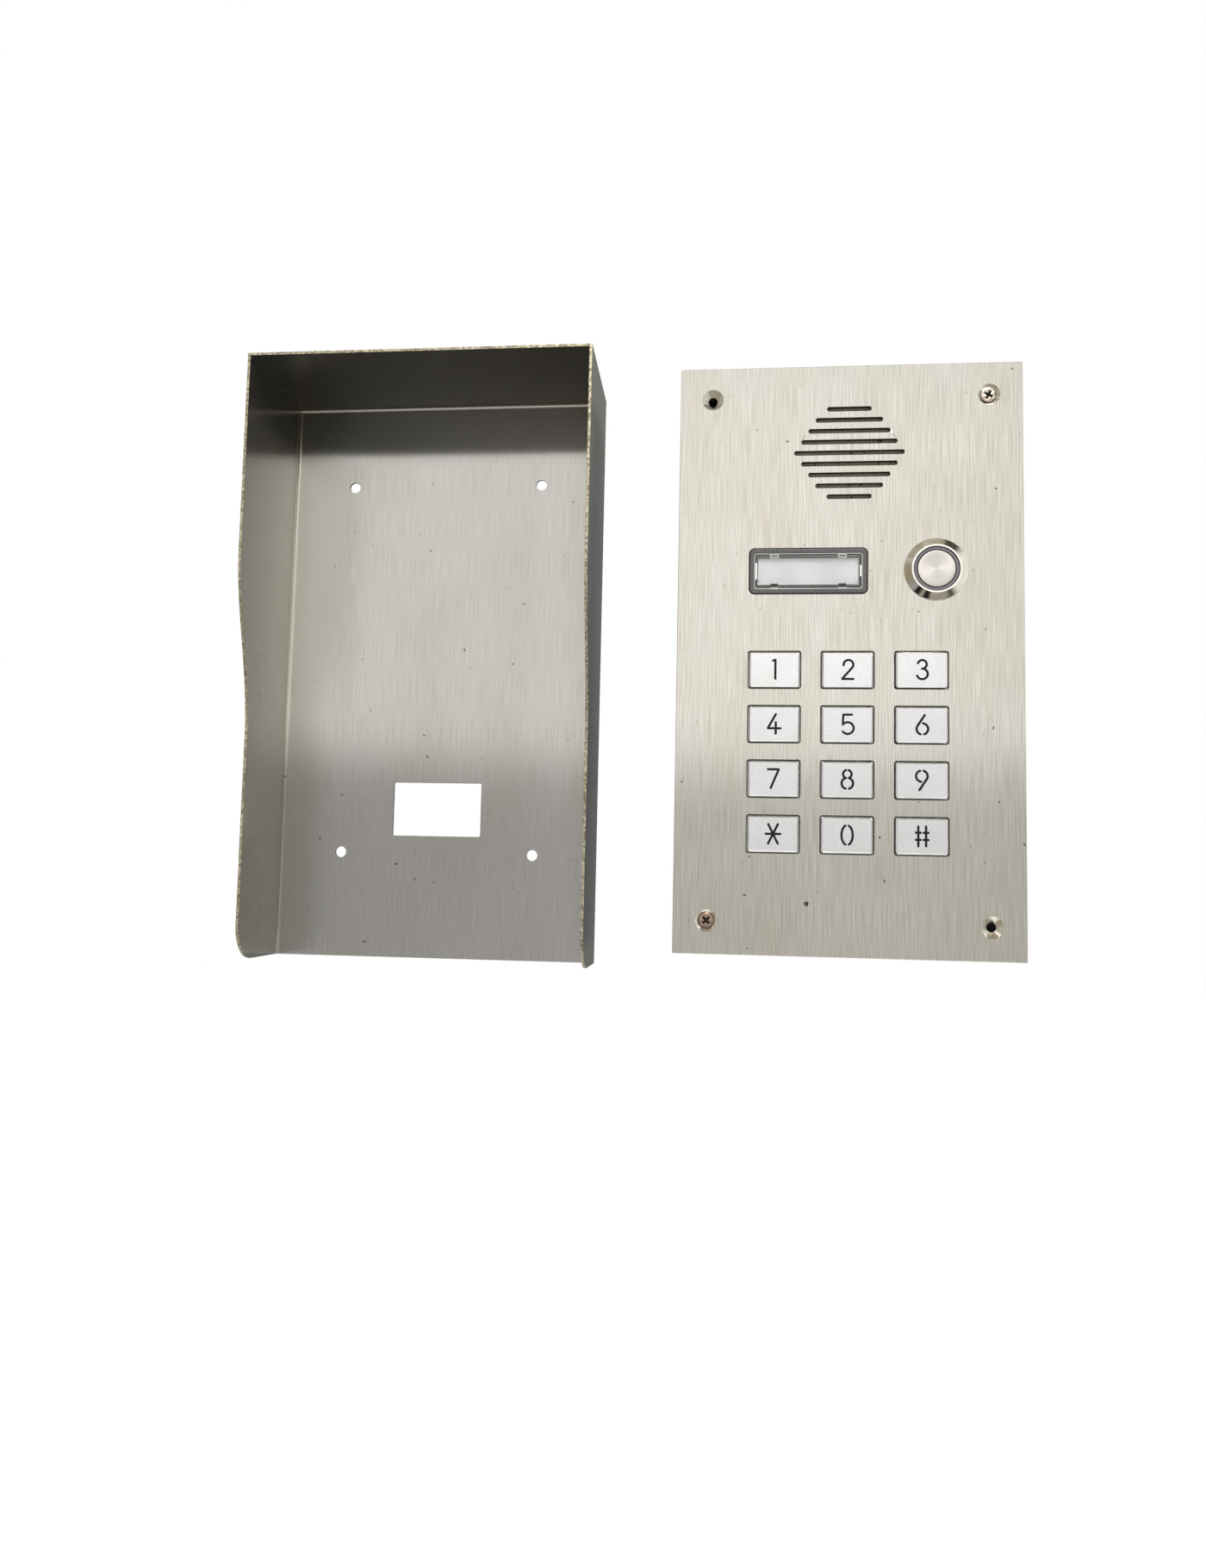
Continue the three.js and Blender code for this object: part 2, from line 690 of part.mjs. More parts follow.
function makeButtonNut() {
  const acrossFlats = 22.5;
  const near = BEHIND_PANEL;
  const far = near + 3;
  const hexagon = new THREE.Shape();
  const cornerRadius = acrossFlats / Math.sqrt(3);
  for (let index = 0; index < 6; index += 1) {
    const angle = (index * Math.PI) / 3;
    const x = BUTTON.x + cornerRadius * Math.cos(angle);
    const z = BUTTON.z + cornerRadius * Math.sin(angle);
    if (index === 0) hexagon.moveTo(x, z);
    else hexagon.lineTo(x, z);
  }
  hexagon.closePath();
  hexagon.holes.push(roundOpening(BUTTON.barrel + GAP, BUTTON.x, BUTTON.z));
  return plate(hexagon, near, far, 12);
}

function makeButtonSwitch() {
  const near = BUTTON_STEM_END + BUTTON_TRAVEL + GAP;
  const bodyEnd = BARREL_END + 3.5;
  const pinEnd = bodyEnd + 3;
  const body = rod(BUTTON.bore - GAP, near, bodyEnd, BUTTON.x, BUTTON.z, 28);
  const pinNear = bodyEnd - OVERRUN;
  const pins = rectanglePlaces(BUTTON, 3.5, 3).map(({ x, z }) =>
    block(2, pinEnd - pinNear, 0.8, x, pinNear, z),
  );
  return join(body, ...pins);
}

// ---- Keypad ----

const KEY_FLANGE = { reach: 1.2, near: PANEL_THICKNESS + 0.4, far: 3.6 };
const KEY_STEM = { width: 9, height: 6, far: 5 };
const GUIDE = { width: 88, height: 90, near: BEHIND_PANEL, far: 6 };
const MAT = { near: 6.3, far: 7.9, inset: 7.5 };
const KEY_BOARD = { near: 8.2, far: 9.8 };
const NUT = { flats: 5, thickness: 2, play: 0.2 };

function makeKey({ x, z }) {
  const bevel = 0.5;
  const width = KEY_OPENING.width - 2 * KEY_CLEARANCE;
  const height = KEY_OPENING.height - 2 * KEY_CLEARANCE;
  const face = rectangle(width - 2 * bevel, height - 2 * bevel, KEY_OPENING.corner - bevel, x, z);
  const capDepth = KEY_PROUD + KEY_FLANGE.near + GAP;
  const cap = new THREE.ExtrudeGeometry(face, {
    depth: capDepth - 2 * bevel,
    bevelThickness: bevel,
    bevelSize: bevel,
    bevelSegments: 1,
    curveSegments: 1,
  });
  cap.rotateX(Math.PI / 2).translate(0, capDepth - KEY_PROUD - bevel, 0);
  const reach = KEY_FLANGE.reach;
  const flange = block(
    width + 2 * reach,
    KEY_FLANGE.far - KEY_FLANGE.near,
    height + 2 * reach,
    x,
    KEY_FLANGE.near,
    z,
  );
  const stemNear = KEY_FLANGE.far - GAP;
  const stem = block(KEY_STEM.width, KEY_STEM.far - stemNear, KEY_STEM.height, x, stemNear, z);
  return join(cap, flange, stem);
}

function keypadOutline(inset) {
  return rectangle(GUIDE.width - 2 * inset, GUIDE.height - 2 * inset, 2, KEYPAD.x, KEYPAD.z);
}

function drillForStuds(outline) {
  for (const { x, z } of KEYPAD_STUD_PLACES) {
    outline.holes.push(roundOpening(STUD_RADIUS + GAP, x, z));
  }
  return outline;
}

// A frame with one well for each key's flange.
function makeKeyGuide() {
  const frame = plate(drillForStuds(keypadOutline(0)), GUIDE.near, GUIDE.far, 3);
  const reach = KEY_FLANGE.reach + GAP - KEY_CLEARANCE;
  const wellWidth = KEY_OPENING.width + 2 * reach;
  const wellHeight = KEY_OPENING.height + 2 * reach;
  const near = GUIDE.near - OVERRUN;
  const depth = GUIDE.far - GUIDE.near + 2 * OVERRUN;
  return cut(frame, ...keyPlaces().map(({ x, z }) => block(wellWidth, depth, wellHeight, x, near, z)));
}

function makeKeyMat() {
  return plate(keypadOutline(MAT.inset), MAT.near, MAT.far);
}

function makeKeyBoard() {
  return plate(drillForStuds(keypadOutline(0)), KEY_BOARD.near, KEY_BOARD.far, 3);
}

function makeKeyConnector() {
  const size = { width: 20, depth: 4, height: 6 };
  const wall = 1.5;
  const near = KEY_BOARD.far + GAP;
  const body = block(size.width, size.depth, size.height, KEYPAD.x, near, KEYPAD.z);
  const socket = block(
    size.width - 2 * wall,
    size.depth,
    size.height - 2 * wall,
    KEYPAD.x,
    near + wall,
    KEYPAD.z,
  );
  return cut(body, socket);
}

function makeNut({ x, z }, near) {
  const far = near + NUT.thickness;
  const hexagon = rod(NUT.flats / Math.sqrt(3), near, far, x, z, 6);
  return cut(hexagon, rod(STUD_RADIUS + NUT.play, near - OVERRUN, far + OVERRUN, x, z, 12));
}

// ---- Microphone ----

const MIC_BOOT = { radius: 6, far: 8.2, pocket: 3.3, pocketFront: 3.6 };
const MIC_CAPSULE = { radius: 3, near: 3.9, far: 7.6 };

function makeMicBoot() {
  const { radius, far, pocket, pocketFront } = MIC_BOOT;
  const profile = [
    [MIC.hole, BEHIND_PANEL],
    [radius, BEHIND_PANEL],
    [radius, far],
    [pocket, far],
    [pocket, pocketFront],
    [MIC.hole, pocketFront],
    [MIC.hole, BEHIND_PANEL],
  ];
  return turned(profile, MIC.x, MIC.z, 24);
}

function makeMicCapsule() {
  return rod(MIC_CAPSULE.radius, MIC_CAPSULE.near, MIC_CAPSULE.far, MIC.x, MIC.z, 20);
}

// ---- Main board and what it carries ----

const BOARD_BACK = MAIN_BOARD.front + MAIN_BOARD.thickness;
const STANDOFF = { x: 45, low: 26, high: 114, radius: 2.5 };
const STANDOFF_SCREW = { head: 2.6, headHeight: 1.8, shank: 1.25, hole: 1.6 };
const CABLE_BITE = { width: 30, height: 22 }; // room for the cables below
const TERMINAL = { z: 78, ways: 8, pitch: 5.08, depth: 9.5, height: 11 };
const TERMINAL_SCREW = { radius: 1.6, depth: 2, rise: 1.5 };
const TERMINAL_MOUTH = { width: 3.4, height: 3, depth: 4, behind: 2.5 };
const JACK = { x: -30, z: 101, width: 16, depth: 9.8, height: 19, wall: 1.5, mouthWidth: 11.8, reach: 8 };
const RELAY = { x: 28, z: 101, width: 15.4, height: 19, depth: 9.7 };
const PROCESSOR = { x: -22, z: 96, size: 14, thickness: 1.4 };
const CAPACITOR = { x: 2, z: 102, radius: 4, height: 9, chamfer: 0.6 };

function standoffPlaces() {
  const { x, low, high } = STANDOFF;
  return rectanglePlaces({ x: 0, z: (low + high) / 2 }, x, (high - low) / 2);
}

function makeMainBoard() {
  const { front, thickness, width, low, high } = MAIN_BOARD;
  const outline = rectangle(width, high - low, 2, 0, (low + high) / 2);
  const board = plate(outline, front, front + thickness);
  const near = front - OVERRUN;
  const far = BOARD_BACK + OVERRUN;
  const bite = block(CABLE_BITE.width, far - near, 2 * CABLE_BITE.height, 0, near, low);
  const holes = standoffPlaces().map(({ x, z }) => rod(STANDOFF_SCREW.hole, near, far, x, z, 12));
  return cut(board, bite, ...holes);
}

// A hexagonal pillar between the board and the box, with a screw head on the board's front.
function makeStandoff({ x, z }) {
  const near = BOARD_BACK + GAP;
  const pillar = rod(STANDOFF.radius, near, BOX_FLOOR - GAP, x, z, 6);
  const headFar = MAIN_BOARD.front - GAP;
  const head = rod(STANDOFF_SCREW.head, headFar - STANDOFF_SCREW.headHeight, headFar, x, z, 16);
  const shank = rod(STANDOFF_SCREW.shank, headFar - GAP, near + OVERRUN, x, z, 12);
  return join(pillar, head, shank);
}

function makeTerminalBlock() {
  const { z, ways, pitch, depth, height } = TERMINAL;
  const near = BOARD_BACK + GAP;
  const far = near + depth;
  const body = block(ways * pitch, depth, height, 0, near, z);
  const wells = Array.from({ length: ways }, (_, way) => (way - (ways - 1) / 2) * pitch);
  const { radius, rise } = TERMINAL_SCREW;
  const screws = wells.map((x) =>
    rod(radius, far - TERMINAL_SCREW.depth, far + OVERRUN, x, z + rise, 10),
  );
  const mouth = TERMINAL_MOUTH;
  const mouths = wells.map((x) =>
    block(mouth.width, mouth.depth, mouth.height, x, near + mouth.behind, z - height / 2),
  );
  return cut(body, ...screws, ...mouths);
}

function makeNetworkJack() {
  const { x, z, width, depth, height, wall, mouthWidth, reach } = JACK;
  const near = BOARD_BACK + GAP;
  const body = block(width, depth, height, x, near, z);
  const mouthHeight = height - reach / 2;
  const mouth = block(mouthWidth, depth - 2 * wall, mouthHeight, x, near + wall, z - reach);
  return cut(body, mouth);
}

function makeDoorRelay() {
  const near = BOARD_BACK + GAP;
  const body = rectangle(RELAY.width, RELAY.height, 0.8, RELAY.x, RELAY.z);
  return plate(body, near, near + RELAY.depth);
}

function makeProcessor() {
  const { x, z, size, thickness } = PROCESSOR;
  const far = MAIN_BOARD.front - GAP;
  return plate(rectangle(size, size, 0.4, x, z), far - thickness, far);
}

function makeCapacitor() {
  const { x, z, radius, height, chamfer } = CAPACITOR;
  const near = BOARD_BACK + GAP;
  const far = near + height;
  const profile = [
    [0, near],
    [radius, near],
    [radius, far - chamfer],
    [radius - chamfer, far],
    [0, far],
  ];
  return turned(profile, x, z, 20);
}

// ---- The set ----

const panelUnit = new THREE.Group();
panelUnit.position.set(0, -UNIT_DEPTH, UNIT_FOOT_Z);
add(panelUnit, "front_panel", makeFrontPanel(), BRUSHED_STEEL);
add(panelUnit, "back_box", makeBackBox(), BOX_PAINT);
add(panelUnit, "panel_gasket", makePanelGasket(), RUBBER);
add(panelUnit, "cable_grommet", makeCableGrommet(), RUBBER);
for (const [corner, place] of Object.entries(CORNERS)) {
  add(panelUnit, "insert_" + corner, makeThreadedInsert(place), BRASS);
}
for (const corner of ["top_right", "bottom_left"]) {
  add(panelUnit, "screw_" + corner, makeCornerScrew(CORNERS[corner]), PLAIN_STEEL);
}

add(panelUnit, "speaker_dust_sheet", makeDustSheet(), MESH_GREY);
add(panelUnit, "speaker_seal", makeSpeakerSeal(), RUBBER);
add(panelUnit, "speaker_basket", makeSpeakerBasket(), PLAIN_STEEL);
add(panelUnit, "speaker_cone", makeSpeakerCone(), CONE_PAPER);
add(panelUnit, "speaker_magnet", makeSpeakerMagnet(), PLAIN_STEEL);
add(panelUnit, "speaker_clamp", makeSpeakerClamp(), PLAIN_STEEL);

add(panelUnit, "name_window", makeNameWindow(), CLEAR_PLASTIC);
add(panelUnit, "name_card", makeNameCard(), WHITE_CARD);
add(panelUnit, "card_holder", makeCardHolder(), BLACK_PLASTIC);

add(panelUnit, "call_button_housing", makeButtonHousing(), POLISHED_STEEL);
add(panelUnit, "call_button_ring", makeButtonRing(), RING_PLASTIC);
add(panelUnit, "call_button_cap", makeButtonCap(), KEY_METAL);
add(panelUnit, "call_button_nut", makeButtonNut(), PLAIN_STEEL);
add(panelUnit, "call_button_switch", makeButtonSwitch(), BLACK_PLASTIC);

for (const place of keyPlaces()) add(panelUnit, "key_" + place.name, makeKey(place), KEY_METAL);
add(panelUnit, "key_guide", makeKeyGuide(), BLACK_PLASTIC);
add(panelUnit, "key_mat", makeKeyMat(), SILICONE);
add(panelUnit, "key_board", makeKeyBoard(), BOARD_GREEN);
add(panelUnit, "key_connector", makeKeyConnector(), BLACK_PLASTIC);
KEYPAD_STUD_PLACES.forEach((place, index) => {
  add(panelUnit, "keypad_nut_" + (index + 1), makeNut(place, KEY_BOARD.far + GAP), PLAIN_STEEL);
});
SPEAKER_STUD_PLACES.forEach((place, index) => {
  const near = CLAMP.near + CLAMP.thickness + GAP;
  add(panelUnit, "speaker_nut_" + (index + 1), makeNut(place, near), PLAIN_STEEL);
});

add(panelUnit, "mic_boot", makeMicBoot(), RUBBER);
add(panelUnit, "mic_capsule", makeMicCapsule(), PLAIN_STEEL);

add(panelUnit, "main_board", makeMainBoard(), BOARD_GREEN);
add(panelUnit, "terminal_block", makeTerminalBlock(), TERMINAL_GREEN);
add(panelUnit, "network_jack", makeNetworkJack(), PLAIN_STEEL);
add(panelUnit, "door_relay", makeDoorRelay(), BLACK_PLASTIC);
add(panelUnit, "processor_chip", makeProcessor(), BLACK_PLASTIC);
add(panelUnit, "capacitor", makeCapacitor(), BLACK_PLASTIC);
standoffPlaces().forEach((place, index) => {
  add(panelUnit, "standoff_" + (index + 1), makeStandoff(place), BRASS);
});

const hood = new THREE.Group();
hood.position.set(HOOD_X, 0, UNIT_FOOT_Z - HOOD_DROP);
add(hood, "rain_hood", makeRainHood(), BRUSHED_STEEL);

const group = new THREE.Group();
group.add(panelUnit, hood);
export default group;
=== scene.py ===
import json
import math

import bmesh
import bpy
from mathutils import Matrix, Vector


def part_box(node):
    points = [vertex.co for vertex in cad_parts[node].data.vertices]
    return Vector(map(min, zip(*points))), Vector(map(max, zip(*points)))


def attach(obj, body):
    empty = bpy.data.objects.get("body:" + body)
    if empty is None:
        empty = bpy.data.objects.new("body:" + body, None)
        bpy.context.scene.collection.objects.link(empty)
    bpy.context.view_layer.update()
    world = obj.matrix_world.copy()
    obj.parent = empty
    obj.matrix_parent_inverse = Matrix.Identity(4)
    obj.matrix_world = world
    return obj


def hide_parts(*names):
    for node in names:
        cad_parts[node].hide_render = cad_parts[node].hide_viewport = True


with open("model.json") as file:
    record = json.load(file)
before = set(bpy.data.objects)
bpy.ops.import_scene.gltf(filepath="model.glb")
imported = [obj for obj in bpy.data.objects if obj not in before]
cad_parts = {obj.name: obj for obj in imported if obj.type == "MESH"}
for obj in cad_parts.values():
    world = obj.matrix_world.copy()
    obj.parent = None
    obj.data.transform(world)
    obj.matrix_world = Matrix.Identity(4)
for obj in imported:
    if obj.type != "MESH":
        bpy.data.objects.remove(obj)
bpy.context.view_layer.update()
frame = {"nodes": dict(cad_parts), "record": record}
NODES = frame["nodes"]

MM = 0.001
FRONT = Vector((0, -1, 0))  # the way the intercom faces

# ---- Sizes, in millimetres. Places come from the frame. ----

PANEL_SHEET = 2
PANEL_EDGE = 0.16  # rounding of the panel's cut edges
PANEL_CORNER = 0.5
SLOT_LENGTHS = (15.5, 23.5, 28.5, 33.5, 38.5, 33.5, 28.5, 23.5, 15.5)  # from the top down
SLOT_PITCH = 4
SLOT_HEIGHT = 1.6
MIC_HOLE = 0.75
COUNTERSINK_MOUTH = 3.7
COUNTERSINK_HOLE = 1.65
COUNTERSINK_LIP = 0.12

WINDOW_SIZE = (41.4, 16.5)
WINDOW_CORNER = 2
WINDOW_GAP = 0.3  # round the frame, and between cover and card
WINDOW_EDGES = (  # the rings' edges from the second one inwards: less width, less height, corner
    (2.8, 2.9, 1.0),
    (2.9, 3.0, 0.9),
    (3.6, 3.7, 0.7),
    (3.7, 3.8, 0.6),
    (4.4, 4.5, 0.5),
    (4.5, 4.6, 0.4),
)
CARD_SIZE = (36.2, 9.8)
CLIP_REACH = 11.9  # from the window's middle to each clip

KEY_OPENING = (18.4, 13.3)
KEY_CORNER = 0.8
KEY_CLEARANCE = 0.4
KEY_CHAMFER = 0.5
KEY_PROUD = 1
KEY_CAP_OVERLAP = 1.2  # how far the cap runs into its flange
KEY_FLANGE_GAP = 0.4  # from the panel's back to the flange that holds the key in
KEY_FLANGE_CORNER = 0.6
KEY_FLANGE_EDGE = 0.15
KEY_STEM = 1.4  # left to the CAD node, behind the flange
ENGRAVING_WIDTH = 0.82
ENGRAVING_DEPTH = 0.3
ENAMEL_SUNK = 0.04
ENAMEL_GAP = 0.02

BUTTON_HOLE = 9.8
BEZEL_SEAT = 0.3  # height of the bezel's rim over the panel
BEZEL_LIP_RADIUS = 8.64
BEZEL_BORE = 7.95
BEZEL_BARREL = 9.5
CAP_EDGE = 0.22
CAP_DISH = 0.1
CAP_SKIRT = 4
CAP_STEM = 4
TURNED_STEPS = 128

SCREW_SHANK = 1.45
RECESS_ARM = 1.75
RECESS_DEPTH = 1.3
RECESS_WIDE = 0.42  # half the arm's width at the top
RECESS_NARROW = 0.22  # and at the bottom
RECESS_REACH = 1.9  # no face of the recess is further out

HOOD_SHEET = 1
HOOD_BEND = 2
HOOD_LOW_DEPTH = 38.1
HOOD_FOOT_CORNER = 13
HOOD_STEP_TOP = 144
HOOD_STEP_BOTTOM = 82
HOOD_STEP_PULL = 20
HOOD_HOLES = (75.2, 145)
HOOD_HOLE_RADIUS = 2.1
HOOD_HOLES_HEIGHT = 112.5
HOOD_CUT_OUT = (34.4, 20.6)
HOOD_CUT_OUT_CORNER = 0.6
HOOD_CUT_OUT_HEIGHT = 57
HOOD_DRILL = (-3, 1)  # the openings are cut from this y to that y

THREAD_PITCH = 0.45  # of the dust cloth

# ---- Brushing and wear: noise scales per metre, two across the grain and one along it ----

FINE_GRAIN = (3000, 3000, 60)
MEDIUM_GRAIN = (900, 900, 34)
CLOUDS = (30, 30, 12)
SCRATCHES = (3000, 3000, 260)

# ---- Stage and camera, in metres and degrees ----

SET_MIDDLE = (-0.05, 0, 0)
FLOOR_DROP = 1.3
FLOOR_RADIUS = 14.0
FLOOR_RINGS = 6
FLOOR_STEPS = 64
DARK_SPOT = (-0.137, -0.796, -0.59)  # direction of the small dark spot in the room
DARK_SPOT_ANGLES = (7, 4.5)  # from its middle: where it starts, and where it is full
CAMERA_PLACE = (-0.0434, -0.4291, -0.0790)
CAMERA_TURN = (94.68, -1.24, 5.92)
CAMERA_LENS = 26.0  # millimetres, on a 36 mm sensor


def centre(node):
    low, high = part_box(node)
    return (low + high) / 2 / MM


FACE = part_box("front_panel")[0].y / MM  # y of the panel's face

# ---- Mesh helpers. They take millimetres and give objects in metres. ----


def to_object(name, bm):
    bmesh.ops.remove_doubles(bm, verts=bm.verts, dist=1e-4)
    bmesh.ops.recalc_face_normals(bm, faces=bm.faces)
    bmesh.ops.scale(bm, vec=(MM, MM, MM), verts=bm.verts)
    mesh = bpy.data.meshes.new(name)
    bm.to_mesh(mesh)
    bm.free()
    obj = bpy.data.objects.new(name, mesh)
    bpy.context.scene.collection.objects.link(obj)
    return obj


def apply_modifiers(obj):
    graph = bpy.context.evaluated_depsgraph_get()
    mesh = bpy.data.meshes.new_from_object(obj.evaluated_get(graph))
    obj.modifiers.clear()
    obj.data = mesh
    return obj


def combine(obj, other, operation="DIFFERENCE"):
    """Cuts other out of obj, or joins or intersects them, and removes other."""
    modifier = obj.modifiers.new("combine", "BOOLEAN")
    modifier.operation = operation
    modifier.solver = "EXACT"
    modifier.object = other
    apply_modifiers(obj)
    bpy.data.objects.remove(other)
    return obj


def smooth(obj, degrees=35):
    """Shades smooth, with sharp edges over the given angle, and keeps wide flat faces flat."""
    bm = bmesh.new()
    bm.from_mesh(obj.data)
    limit = math.radians(degrees)
    for face in bm.faces:
        face.smooth = True
    for edge in bm.edges:
        edge.smooth = edge.is_manifold and edge.calc_face_angle() < limit
    bm.to_mesh(obj.data)
    bm.free()
    modifier = obj.modifiers.new("normals", "WEIGHTED_NORMAL")
    modifier.keep_sharp = True
    modifier.weight = 100
    return obj


def round_edges(obj, width, segments=2, degrees=35):
    modifier = obj.modifiers.new("edges", "BEVEL")
    modifier.width = width * MM
    modifier.segments = segments
    modifier.limit_method = "ANGLE"
    modifier.angle_limit = math.radians(degrees)
    modifier.use_clamp_overlap = False
    return apply_modifiers(obj)


def arc(x, z, radius, start, end, steps):
    """Points along an arc, from one angle to the other in degrees."""
    angles = [math.radians(start + (end - start) * step / steps) for step in range(steps + 1)]
    return [(x + radius * math.cos(angle), z + radius * math.sin(angle)) for angle in angles]


def circle(x, z, radius, steps=48):
    return arc(x, z, radius, 0, 360, steps)[:-1]


def rectangle(x, z, width, height, corner, steps=8):
    right, high = width / 2 - corner, height / 2 - corner
    outline = []
    turns = ((right, -high, -90), (right, high, 0), (-right, high, 90), (-right, -high, 180))
    for dx, dz, start in turns:
        outline += arc(x + dx, z + dz, corner, start, start + 90, steps)
    return outline


def slab(name, outlines, near, far, edge=0.0, rings=2):
    """A plate parallel to the panel. Outlines of (x, z) points: the outside first, then its holes."""
    curve = bpy.data.curves.new(name, "CURVE")
    curve.dimensions = "2D"
    curve.fill_mode = "BOTH"
    curve.extrude = ((far - near) / 2 - edge) * MM
    curve.bevel_depth = edge * MM
    curve.bevel_resolution = rings
    curve.offset = -edge * MM
    for outline in outlines:
        spline = curve.splines.new("POLY")
        spline.points.add(len(outline) - 1)
        spline.use_cyclic_u = True
        for point, (x, z) in zip(spline.points, outline):
            point.co = (x * MM, z * MM, 0, 1)
    holder = bpy.data.objects.new(name, curve)
    bpy.context.scene.collection.objects.link(holder)
    graph = bpy.context.evaluated_depsgraph_get()
    mesh = bpy.data.meshes.new_from_object(holder.evaluated_get(graph))
    bpy.data.objects.remove(holder)
    upright = Matrix.Rotation(math.pi / 2, 4, "X")
    mesh.transform(Matrix.Translation((0, (near + far) / 2 * MM, 0)) @ upright)
    bm = bmesh.new()
    bm.from_mesh(mesh)
    bmesh.ops.remove_doubles(bm, verts=bm.verts, dist=1e-7)
    bmesh.ops.recalc_face_normals(bm, faces=bm.faces)
    bm.to_mesh(mesh)
    bm.free()
    obj = bpy.data.objects.new(name, mesh)
    bpy.context.scene.collection.objects.link(obj)
    return obj


def prism(name, outline, place):
    """A closed prism: place(u, v, end) gives the corner for an outline point at end 0 or 1."""
    bm = bmesh.new()
    ends = [[bm.verts.new(place(u, v, end)) for u, v in outline] for end in (0, 1)]
    bm.faces.new(ends[0])
    bm.faces.new(ends[1])
    count = len(outline)
    for index in range(count):
        after = (index + 1) % count
        bm.faces.new((ends[0][index], ends[0][after], ends[1][after], ends[1][index]))
    return to_object(name, bm)


def turned(name, profile, x, z, steps=96):
    """A solid of revolution about the line through x, z that runs front to back.

    The profile lists (radius, y) pairs, and closes on itself or starts and ends on the axis."""
    bm = bmesh.new()
    closed = profile[0][0] > 0
    rings = []
    for radius, y in profile:
        if radius == 0:
            rings.append([bm.verts.new((x, y, z))] * steps)
        else:
            rings.append([bm.verts.new((px, y, pz)) for px, pz in circle(x, z, radius, steps)])
    pairs = list(zip(rings, rings[1:]))
    if closed:
        pairs.append((rings[-1], rings[0]))
    for near, far in pairs:
        for index in range(steps):
            after = (index + 1) % steps
            corners = dict.fromkeys((near[index], near[after], far[after], far[index]))
            if len(corners) > 2:
                bm.faces.new(tuple(corners))
    return to_object(name, bm)


def stroke(name, points, width, near, far):
    """A groove cutter of constant width with round ends, along (x, z) points."""
    half = width / 2
    left, right = [], []
    for index, point in enumerate(points):
        before = Vector(points[max(index - 1, 0)])
        after = Vector(points[min(index + 1, len(points) - 1)])
        along = (after - before).normalized()
        side = Vector((-along.y, along.x)) * half
        left.append(Vector(point) + side)
        right.append(Vector(point) - side)
    heading = math.degrees(math.atan2(*(Vector(points[-1]) - Vector(points[-2])).yx))
    tail = math.degrees(math.atan2(*(Vector(points[0]) - Vector(points[1])).yx))
    cap_end = arc(*points[-1], half, heading + 90, heading - 90, 8)[1:-1]
    cap_start = arc(*points[0], half, tail + 90, tail - 90, 8)[1:-1]
    outline = [tuple(p) for p in left] + cap_end + [tuple(p) for p in reversed(right)] + cap_start
    return prism(name, outline, lambda x, z, end: (x, (near, far)[end], z))


# ---- Materials ----


def srgb(red, green, blue):
    """A linear colour from 8-bit display values."""
    values = [channel / 255 for channel in (red, green, blue)]
    linear = [v / 12.92 if v <= 0.04045 else ((v + 0.055) / 1.055) ** 2.4 for v in values]
    return (*linear, 1)


class Nodes:
    """Short calls for the nodes that the materials and the world need."""

    def __init__(self, tree):
        self.tree = tree

    def node(self, kind, **settings):
        made = self.tree.nodes.new(kind)
        for key, value in settings.items():
            setattr(made, key, value)
        return made

    def feed(self, socket, value):
        if isinstance(value, bpy.types.NodeSocket):
            self.tree.links.new(value, socket)
        else:
            socket.default_value = value

    def stretch(self, vector, scale):
        mapping = self.node("ShaderNodeMapping")
        self.feed(mapping.inputs["Vector"], vector)
        mapping.inputs["Scale"].default_value = scale
        return mapping.outputs["Vector"]

    def noise(self, vector, scale, detail=3.0, roughness=0.5):
        made = self.node("ShaderNodeTexNoise")
        self.feed(made.inputs["Vector"], vector)
        made.inputs["Scale"].default_value = scale
        made.inputs["Detail"].default_value = detail
        made.inputs["Roughness"].default_value = roughness
        return made.outputs["Fac"]

    def spread(self, value, low, high, to_low=0.0, to_high=1.0, curve="SMOOTHSTEP"):
        made = self.node("ShaderNodeMapRange", interpolation_type=curve)
        self.feed(made.inputs["Value"], value)
        limits = {"From Min": low, "From Max": high, "To Min": to_low, "To Max": to_high}
        for socket, number in limits.items():
            made.inputs[socket].default_value = number
        return made.outputs["Result"]

    def ramp(self, value, stops):
        """Colours for a value from -1 to 1."""
        made = self.node("ShaderNodeValToRGB")
        self.feed(made.inputs["Fac"], self.spread(value, -1, 1, curve="LINEAR"))
        elements = made.color_ramp.elements
        while len(elements) < len(stops):
            elements.new(0.5)
        for element, (position, colour) in zip(elements, stops):
            element.position = (position + 1) / 2
            element.color = (*colour, 1)
        return made.outputs["Color"]

    def math(self, operation, first, second=0.0):
        made = self.node("ShaderNodeMath", operation=operation)
        self.feed(made.inputs[0], first)
        self.feed(made.inputs[1], second)
        return made.outputs[0]

    def product(self, first, *others):
        for other in others:
            first = self.math("MULTIPLY", first, other)
        return first

    def minus(self, first, second):
        return self.math("SUBTRACT", first, second)

    def absolute(self, value):
        return self.math("ABSOLUTE", value)

    def mix(self, factor, first, second, blend="MIX"):
        made = self.node("ShaderNodeMix", data_type="RGBA", blend_type=blend)
        self.feed(made.inputs["Factor"], factor)
        self.feed(made.inputs["A"], first)
        self.feed(made.inputs["B"], second)
        return made.outputs["Result"]

    def split(self, vector):
        made = self.node("ShaderNodeSeparateXYZ")
        self.feed(made.inputs[0], vector)
        return made.outputs

    def join(self, x, y, z):
        made = self.node("ShaderNodeCombineXYZ")
        for socket, value in zip(made.inputs, (x, y, z)):
            self.feed(socket, value)
        return made.outputs[0]


